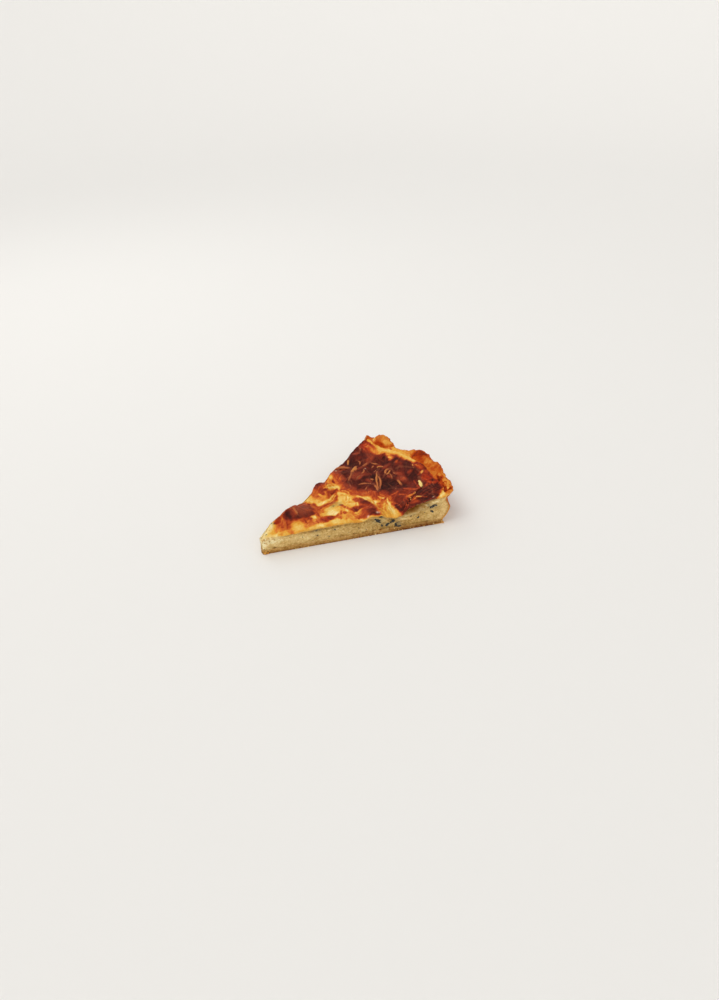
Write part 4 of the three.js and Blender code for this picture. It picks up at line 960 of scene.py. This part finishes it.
def filling_piece():
    shell = Shell()
    facts = {key: [] for key in ("browning", "cheese_film_and_sheen", "cut", "tone", "shade", "stain")}

    def patch(points, **values):
        """Add points and what is known of them, zero where nothing is given."""
        for key, parts in facts.items():
            parts.append(np.ravel(np.broadcast_to(values.get(key, 0.0), points.shape[:-1])))
        return shell.add(points)

    share = np.linspace(0, 1, OUT_STEPS + 1)[:, None]
    angles = np.linspace(FRONT_CUT, BACK_CUT, ROUND_STEPS + 1)
    highest = np.full((OUT_STEPS + 1, len(angles)), FRONT_TOP[-1][1])
    start = around(reach(share, highest, angles), angles, 0)
    top_z = top_height(start[..., 0], start[..., 1])
    radius = reach(share, top_z, angles)
    top = around(radius, angles, top_z)
    level, lift, cheese_film_and_sheen = top_paint(top[..., 0], top[..., 1])
    edge = cut_distance(radius, angles)
    at_tip = 1 - smooth(radius, 8, 17)
    rounding = (0.9 + at_tip) * np.exp(-((edge / (1.1 + 0.9 * at_tip)) ** 2)) * (1 - smooth(level, 0.5, 0.8))
    crumbly = (0.5 * noise(top, 1.9, 90.0) + 0.35 * noise(top, 1.0, 91.0)) * (1 - smooth(edge, 1.5, 3.5))
    top[..., 2] += lift + at_tip * crumbly - rounding
    for side, column in ((FRONT_CUT, 0), (BACK_CUT, -1)):
        away = radius * np.sin(np.radians(np.abs(angles - side)))
        dent = cut_dent(radius, 0.0) if side < 0 else np.zeros_like(radius)
        lip = dent + 0.5 * noise(top, 3.0, 40.0 + column)
        top += (lip * np.exp(-((away / 2.2) ** 2)))[..., None] * cut_normal(side)
    stain = np.clip(spread(top[..., 0], top[..., 1], TOP_STAINS), 0, 1)
    crumbling = 0.8 * at_tip * (1 - smooth(edge + 0.6 * noise(top, 1.4, 92.0), 0.6, 2.4))
    # Painted pale sheen on the mound near the tip.
    cheese_film_and_sheen = cheese_film_and_sheen + 0.45 * spot_weight(top[..., 0], top[..., 1], *MOUND_SHEEN, 0.7)
    top_ids = patch(top, browning=level, cheese_film_and_sheen=cheese_film_and_sheen, stain=stain, cut=crumbling, tone=0.95)
    shell.quads(top_ids)

    def side_patch(side, column, rim_ids):
        """One cut, from the pastry up to the top's edge."""
        up = np.linspace(0, 1, UP_STEPS + 1)[:-1][None, :]
        high = top_z[:, column][:, None]
        height = FOOT + (high - FOOT) * up
        wall = inner_radius(height, side) + CUT_IN
        out = TIP_RADIUS + (wall - TIP_RADIUS) * share
        points = around(out, side, height)
        drop = high - height
        dent = cut_dent(out, drop) if side < 0 else np.zeros_like(out)
        blend = smooth(drop, 0, 1.5)
        lip = 0.5 * noise(points, 3.0, 40.0 + column) * (1 - blend)
        points = points + (dent + lip + crumble(points, 1.0) * blend)[..., None] * cut_normal(side)
        skin = 1 - smooth(drop + 0.5 * noise(points, 1.5, 50.0), 0.2, 1.4)
        skin = skin * smooth(out, 8, 16)
        brown = level[:, column][:, None]
        ids = patch(points, browning=brown, cut=1 - skin, **cut_facts(out, height, drop, side))
        return np.concatenate([ids, rim_ids[:, None]], axis=1)

    front = side_patch(FRONT_CUT, 0, top_ids[:, 0])
    back = side_patch(BACK_CUT, -1, top_ids[:, -1])
    shell.quads(front, flip=True)
    shell.quads(back)

    def end_patch(row):
        """The tip's face, or the outer face that the pastry hides."""
        up = np.linspace(0, 1, UP_STEPS + 1)[:-1][:, None]
        high = top_z[row, :][None, :]
        height = (FOOT + (high - FOOT) * up)[:, 1:-1]
        inner = [inner_radius(height[:, j], angle) + CUT_IN for j, angle in enumerate(angles[1:-1])]
        out = np.stack(inner, axis=1) if row else np.full_like(height, TIP_RADIUS)
        points = around(out, angles[1:-1], height)
        if not row:
            points[..., 0] += crumble(points, 0.8) + 0.5 * smooth(height, 12, 4)
        tone = 0.9 - 0.4 * (1 - smooth(height, 5, 10)) + 0.1 * noise(points, 2.0, 13.0)
        ids = patch(points, browning=0.05, cut=1.0, tone=tone)
        ids = np.concatenate([ids, top_ids[row, 1:-1][None, :]], axis=0)
        return np.concatenate([front[row, :][:, None], ids, back[row, :][:, None]], axis=1)

    tip = end_patch(0)
    outer = end_patch(-1)
    shell.quads(tip, flip=True)
    shell.quads(outer)
    shell.polygon(np.concatenate([front[:, 0], outer[0, 1:-1], back[::-1, 0], tip[0, -2:0:-1]])[::-1])
    x, y, _ = shell.all_points().T
    facts = {key: np.concatenate(parts) for key, parts in facts.items()}
    glassy = sum(0.75 * spot_weight(x, y, *spot, 0.8) for spot in GLASSY)
    glassy = np.clip(glassy * (0.6 + 0.8 * noise(flat(x, y), 1.6, 51.0)), 0, 0.5)
    brown = facts["browning"]
    facts["glassy"] = glassy * smooth(brown, 0.3, 0.5) * (1 - smooth(brown, 0.7, 0.9))
    facts["wet_glint"] = np.clip(sum(hill((x - at_x) / size, (y - at_y) / size) for at_x, at_y, size in WET_GLINT_SPOTS), 0, 1)
    made = shell.piece("egg_filling_baked", filling_material(), "egg_filling", **facts)
    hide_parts("egg_filling")
    return made


def streaks(out, height, long, high, shift):
    """Noise drawn out along the cut."""
    return noise(flat(out / long, height / high), 1.0, shift)


def cut_facts(out, height, drop, side):
    """How pale, how shaded and how stained a cut is."""
    tone = 0.1 * streaks(out, height, 5.0, 1.6, 3.3) + 0.1 * streaks(out, height, 1.6, 0.9, 9.1)
    tone = tone + eased(CUT_TONE, out) - 0.12 * (1 - smooth(height, 5, 7.6))
    tone = tone - 0.1 * hill((drop - 1.8) / 1.2, 0)
    if side > 0:
        tone = tone + 0.35 * (1 - smooth(out, 8, 20)) + 0.1 * smooth(out, 120, 136)
        shade = 0.15 * smooth(height, 10, 18) + 0.12 * streaks(out, height, 9, 3, 6.6)
        stain = 0.15 * smooth(streaks(out, height, 6, 3, 8.8), 0.2, 0.8)
    else:
        tone = tone + spread(out, height, CRUMB_SPOTS)
        shade = spread(out, height, POCKET) * (1 - smooth(-drop, -0.4, 0.4))
        # Herb stains, with painted shadow beside the pocket under the lifted skin.
        stain = spread(out, height, STAINS_AND_SHADOW)
    return shares(tone=tone, shade=shade, stain=stain)


def lumpiness(points):
    """Relief of the rim's baked surface, from -1 to 1: lumps a few millimetres wide with finer grain."""
    coarse = 0.5 * noise(points, 3.0, 60.0) + 0.32 * noise(points, 1.5, 64.0)
    return coarse + 0.18 * noise(points, 0.8, 68.0) + 0.5 * (np.abs(noise(points, 5.0, 61.0)) - 0.3)


def roughened(points):
    """Points with shortcrust's grain, that leaves the underside flat and the cuts in their planes."""
    x, y, z = points[..., 0], points[..., 1], points[..., 2]
    radius, angle = np.maximum(np.hypot(x, y), 1e-6), np.degrees(np.arctan2(y, x))
    out, up = radius - (eased(CREST, angle, 2) - 5), z - (eased(CREST, angle, 1) - 7)
    away = np.maximum(np.hypot(out, up), 1)
    amount = lumpiness(points) * (0.2 + 0.7 * smooth(z, 13, 24)) * smooth(z, 0, 1.2)
    side = amount * out / away * smooth(radius, 120, 138)
    lift = amount * up / away * np.where(z < BASE_THICKNESS + 1, 0.15, 1)
    return points + np.stack([side * x / radius, side * y / radius, lift], axis=-1)


def pastry_piece():
    shell = Shell()
    inside = []
    base = np.linspace(0, BASE_SHARE, BASE_STEPS)
    wall = np.linspace(BASE_SHARE + 0.005, 1, WALL_STEPS)
    along = np.concatenate([base, wall])
    across = np.linspace(0, 1, RIM_STEPS)
    angles = np.linspace(FRONT_CUT, BACK_CUT, RIM_ROUND_STEPS)

    def section(a, w, angle):
        """Points of the section, with the faint flutes that the tin pressed into its outer face."""
        a, w, angle = np.broadcast_arrays(a, w, angle)
        radius, height = pastry_section(a, w, angle)
        turn = np.radians(angle)
        press = sum(deep * np.sin(turn * number + height * slant) for number, slant, deep in FLUTES)
        return around(radius + smooth(height, 1, 8) * press * (1 - w), angle, height), w

    def patch(a, w, angle, side=None):
        points, w = section(a, w, angle)
        points = roughened(points)
        if side is not None:
            points = points + (0.6 * crumble(points, 1.0))[..., None] * cut_normal(side)
        inside.append(np.ravel(w))
        return shell.add(points)

    outer = patch(wall[:, None], 0.0, angles)
    inner = patch(wall[:, None], 1.0, angles)
    rim = patch(1.0, across[1:-1][:, None], angles)
    crest = np.concatenate([outer[-1:], rim, inner[-1:]], axis=0)
    shell.quads(outer, flip=True)
    shell.quads(crest, flip=True)
    shell.quads(inner)
    cuts = []
    for side, column in ((FRONT_CUT, 0), (BACK_CUT, -1)):
        low = np.concatenate([patch(base, 0.0, side), outer[:, column]])
        high = np.concatenate([patch(base, 1.0, side), inner[:, column]])
        tip = patch(0.0, across[1:-1], side)
        middle = patch(along[1:-1][:, None], across[1:-1], side, side)
        rows = np.concatenate([tip[None, :], middle, rim[:, column][None, :]], axis=0)
        ids = np.concatenate([low[:, None], rows, high[:, None]], axis=1)
        shell.quads(ids, flip=side < 0)
        cuts.append(ids)
    front, back = cuts
    shell.quads(np.stack([front[0], back[0]]))
    count = len(base)
    shell.polygon(np.concatenate([front[:count, 0], outer[0, :], back[:count, 0][::-1]])[::-1])
    shell.polygon(np.concatenate([front[:count, -1], inner[0, :], back[:count, -1][::-1]]))
    paint = pastry_paint(shell.all_points(), np.concatenate(inside))
    made = shell.piece("shortcrust_case_baked", pastry_material(), "pastry_case", **paint)
    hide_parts("pastry_case")
    return made


def pastry_paint(points, inside):
    """Browning of the pastry, with inside 0 on its outer face and 1 on the face towards the filling."""
    x, y, z = points.T
    radius, angle = np.hypot(x, y), np.degrees(np.arctan2(y, x))
    outward = radius - eased(CREST, angle, 2)
    level = 0.58 + 0.08 * noise(points, 4, 71.0)
    for at, out, wide, long, brown in RIM_SPOTS:
        weight = 1 - smooth(np.hypot((angle - at) / wide, (outward - out) / long), 0.5, 1.4)
        level = level + (brown - level) * weight
    outside = 0.38 + 0.2 * smooth(z, 8, 24) + 0.18 * noise(points, 9, 78.0) + 0.14 * noise(points, 3.4, 79.0)
    level = outside + (level - outside) * smooth(inside, 0.05, 0.6)
    specks = smooth(noise(points, 1.1, 84.0), 0.2, 0.6) * (0.5 + smooth(-angle, 12, 16))
    # Raised grain is painted paler and the hollows between it browner: painted highlight and shade on the
    # rim's lumps.
    level = level - 0.16 * lumpiness(points) + 0.2 * specks * smooth(z, 12, 20)
    cut = 1 - smooth(cut_distance(radius, angle) + 0.3 * noise(points, 1.4, 73.0), 0.3, 1.0)
    cut = np.maximum(cut, smooth(-radius, -TIP_RADIUS - 1.5, -TIP_RADIUS - 0.5))
    wall = smooth(radius, 132, 139)
    cut = cut * (1 - 0.75 * smooth(z, 23, 27)) * (1 - 0.8 * wall * (1 - smooth(inside, 0.06, 0.26)))
    pits = smooth(noise(points, 1.6, 83.0), 0.35, 0.65) * (1 - smooth(z, 1.6, 3.4))
    shade = 0.5 * (1 - smooth(z, 0.2, 2.2)) + 0.7 * pits
    shade = shade + 0.45 * smooth(radius, 84, 112) * (1 - smooth(z, 2.6, 4.6))
    tone = 0.4 + 0.1 * smooth(z, 2, 4.4) + 0.26 * wall * smooth(inside, 0.15, 0.5) * smooth(z, 3, 8)
    tone = tone + 0.1 * streaks(radius, z, 4.0, 1.2, 21.0) + 0.12 * noise(points, 1.3, 23.0)
    return shares(browning=level, cut=cut, shade=shade, tone=tone)


def tube(shell, spine, half_widths, half_heights, sides):
    """A closed tube along points, wider than high, with tapered ends."""
    spine = np.asarray(spine, dtype=float)
    ahead = np.gradient(spine, axis=0)
    ahead /= np.linalg.norm(ahead, axis=1, keepdims=True)
    across = np.cross(ahead, [0, 0, 1.0])
    across /= np.linalg.norm(across, axis=1, keepdims=True)
    up = np.cross(across, ahead)
    turn = np.linspace(0, 2 * math.pi, sides, endpoint=False)
    ring = np.cos(turn)[None, :, None] * across[:, None] * half_widths[:, None, None]
    ring = ring + np.sin(turn)[None, :, None] * up[:, None] * half_heights[:, None, None]
    shell.closed(spine[:, None] + ring)


def curve_through(points, count):
    """Evenly spaced places on a smooth curve through points."""
    points = np.asarray(points, dtype=float)
    if len(points) < 3:
        return np.linspace(points[0], points[1], count)
    dense = face_point(points, np.linspace(0, 1, CURVE_SAMPLES))
    run = np.concatenate([[0], np.cumsum(np.linalg.norm(np.diff(dense, axis=0), axis=1))])
    at = np.linspace(0, run[-1], count)
    return np.stack([np.interp(at, run, dense[:, k]) for k in range(dense.shape[1])], axis=1)


def smoothed(values):
    """Values along a line, averaged with their neighbours so that a strand bridges small dips."""
    padded = np.pad(values, 2, mode="edge")
    return np.maximum(values, np.convolve(padded, np.full(5, 0.2), mode="valid"))


def tapered(share, power, full=1.05):
    """How full a tube is along its length, from -1 to 1: nearly nothing at its ends."""
    return np.sqrt(np.clip(full - np.abs(share) ** power, 0, 1))


def strands_piece():
    shell = Shell()
    browning = []
    draw = np.random.default_rng(SEED + 1)
    for points, half, brown in STRANDS:
        line = curve_through(points, STRAND_STEPS)
        wobble = np.stack([noise(flat(line[:, 0], line[:, 1]), 3.0, 100.0 + k) for k in (0, 5)], axis=1)
        line = line + 0.3 * wobble
        _, rise, _ = painted(line[:, 0], line[:, 1])
        line = line - np.outer(rise, FARTHER)
        _, rise, _ = top_paint(line[:, 0], line[:, 1])
        share = np.linspace(-1, 1, STRAND_STEPS)
        uneven = 1 + 0.25 * noise(flat(line[:, 0], line[:, 1]), 2.0, 104.0)
        width = (1.1 * half + 0.06) * tapered(share, 3, 1.04) * uneven
        height = top_height(line[:, 0], line[:, 1]) + smoothed(rise) + 0.2 - 0.2 * np.abs(share) ** 4
        tube(shell, np.column_stack([line, height]), width, 0.5 * width + 0.06, STRAND_SIDES)
        tint = min(brown, 0.27 + 0.42 * brown) + 0.04 * draw.standard_normal()
        tint = tint + 0.16 * smooth(brown, 0.2, 0.4) * np.abs(share) ** 3
        browning.append(np.repeat(tint, STRAND_SIDES))
    browning = np.clip(np.concatenate(browning), 0, 1)
    return shell.piece("cheese_strands", strand_material(), "egg_filling", browning=browning)


def leek_piece():
    shell = Shell()
    for side, rows in ((FRONT_CUT, FRONT_LEEK), (BACK_CUT, BACK_LEEK)):
        for points, half in rows:
            line = curve_through(points, LEEK_STEPS)
            spine = around(line[:, 0], side, line[:, 1])
            drop = top_height(spine[:, 0], spine[:, 1]) - line[:, 1]
            dent = cut_dent(line[:, 0], drop) if side < 0 else np.zeros_like(drop)
            spine = spine + np.outer(dent + 0.1 * half, cut_normal(side))
            swell = LARGE_LEEK_SWELL if half > LARGE_LEEK else 1.0
            width = (swell if side < 0 else BACK_LEEK_SWELL) * half * (1 + 0.35 * noise(spine, 1.2, 110.0))
            width = width * tapered(np.linspace(-1, 1, LEEK_STEPS), 4)
            tube(shell, spine, width * 0.55, width, LEEK_SIDES)
    for x, y, size in TOP_SPECKS:
        line = np.array([[x - size, y - 0.3 * size], [x, y], [x + size, y + 0.2 * size]])
        line = curve_through(line, SPECK_STEPS)
        spine = np.column_stack([line, top_height(*line.T) - 0.05])
        width = 0.5 * size * tapered(np.linspace(-1, 1, SPECK_STEPS), 4)
        tube(shell, spine, width, 0.25 * width + 0.08, LEEK_SIDES)
    return shell.piece("leek_bits", leek_material(), "egg_filling")


def lump(shell, draw, centre, size):
    """A small uneven lump that stays above the floor."""
    turn = np.linspace(0, 2 * math.pi, LUMP_SIDES, endpoint=False)
    rings = []
    for tilt in np.linspace(-1.3, 1.3, LUMP_RINGS):
        flat_ring = math.cos(tilt) * np.cos(turn), math.cos(tilt) * np.sin(turn)
        ring = np.stack([*flat_ring, np.full(LUMP_SIDES, math.sin(tilt))], axis=1)
        rings.append(ring * size * (1 + 0.18 * draw.standard_normal((LUMP_SIDES, 1))))
    rings = np.stack(rings) * draw.uniform(0.7, 1.3, 3) + centre
    rings[..., 2] = np.maximum(rings[..., 2], 0.02)
    shell.closed(rings)


def crumbs_piece():
    """Crumbs along the foot of both cuts, and those that show on the front cut."""
    shell = Shell()
    draw = np.random.default_rng(SEED + 2)
    browning, cut = [], []
    for number in range(CRUMB_COUNT):
        side = FRONT_CUT if number % 3 else BACK_CUT
        size = 0.16 + 0.4 * draw.random() ** 3
        height = size * 0.7 + draw.uniform(0, 1.1) ** 3
        foot = around(draw.uniform(*CRUMB_RUN), side, height)
        lump(shell, draw, foot + cut_normal(side) * (0.3 - size * 0.5), size)
        browning.append(0.2)
        cut.append(0.85)
    for out, height, size, brown, pale in SINGLE_CRUMBS:
        lump(shell, draw, around(out, FRONT_CUT, height) + cut_normal(FRONT_CUT) * size * 0.1, size)
        browning.append(brown)
        cut.append(pale)
    tone = draw.uniform(0.5, 0.95, len(cut))
    facts = {"browning": browning, "cut": cut, "shade": np.zeros(len(cut)), "tone": tone}
    facts = {key: np.repeat(values, LUMP_RINGS * LUMP_SIDES) for key, values in facts.items()}
    return shell.piece("pastry_crumbs", pastry_material(), "pastry_case", **facts)


def placed(name, data, place, ahead):
    """An object at a place, that looks along a direction."""
    made = bpy.data.objects.new(name, data)
    made.location = place
    made.rotation_mode = "QUATERNION"
    made.rotation_quaternion = Vector(ahead).to_track_quat("-Z", "Y")
    bpy.context.scene.collection.objects.link(made)
    return made


def floor():
    """A pale disc, in metres, whose far part sweeps up behind the food on every side."""
    turns = np.linspace(0, 2 * math.pi, FLOOR_SIDES, endpoint=False)
    rings = [(0.3, 0), (1, 0)] + [(2 + 0.25 * k, 0.0074 * k * k) for k in range(SWEEP_RINGS)]
    corners = [(far * math.cos(t), far * math.sin(t), high) for far, high in rings for t in turns]
    faces = [tuple(range(FLOOR_SIDES))]
    for start in range(0, FLOOR_SIDES * (len(rings) - 1), FLOOR_SIDES):
        for k in range(FLOOR_SIDES):
            at, after = start + k, start + (k + 1) % FLOOR_SIDES
            faces.append((at, at + FLOOR_SIDES, after + FLOOR_SIDES, after))
    mesh = bpy.data.meshes.new("floor")
    mesh.from_pydata(corners, [], faces)
    mesh.polygons.foreach_set("use_smooth", [True] * len(faces))
    pale = Look("floor_pale")
    pale.shader.inputs["Base Color"].default_value = FLOOR_COLOUR
    pale.shader.inputs["Roughness"].default_value = 0.9
    mesh.materials.append(pale.material)
    stage = bpy.data.objects.new("floor", mesh)
    bpy.context.scene.collection.objects.link(stage)


def studio():
    """Pale floor, soft lights and the photo's camera."""
    floor()
    for kind, name, place, strength, settings in LAMPS:
        light = bpy.data.lights.new(name, kind)
        light.energy = strength
        for key, value in settings.items():
            setattr(light, key, value)
        placed(name, light, place, -Vector(place))
    world = bpy.data.worlds.new("studio")
    world.use_nodes = True
    sky = world.node_tree.nodes["Background"].inputs
    sky["Color"].default_value = SKY_COLOUR
    sky["Strength"].default_value = SKY_STRENGTH
    bpy.context.scene.world = world
    bpy.context.scene.view_settings.view_transform = "Standard"
    camera = bpy.data.cameras.new("photo_view")
    camera.sensor_width = 36.0
    camera.lens = LENS
    bpy.context.scene.camera = placed("photo_view", camera, Vector(CAMERA_PLACE) * MM, CAMERA_AIM)


filling_piece()
pastry_piece()
strands_piece()
leek_piece()
crumbs_piece()
studio()
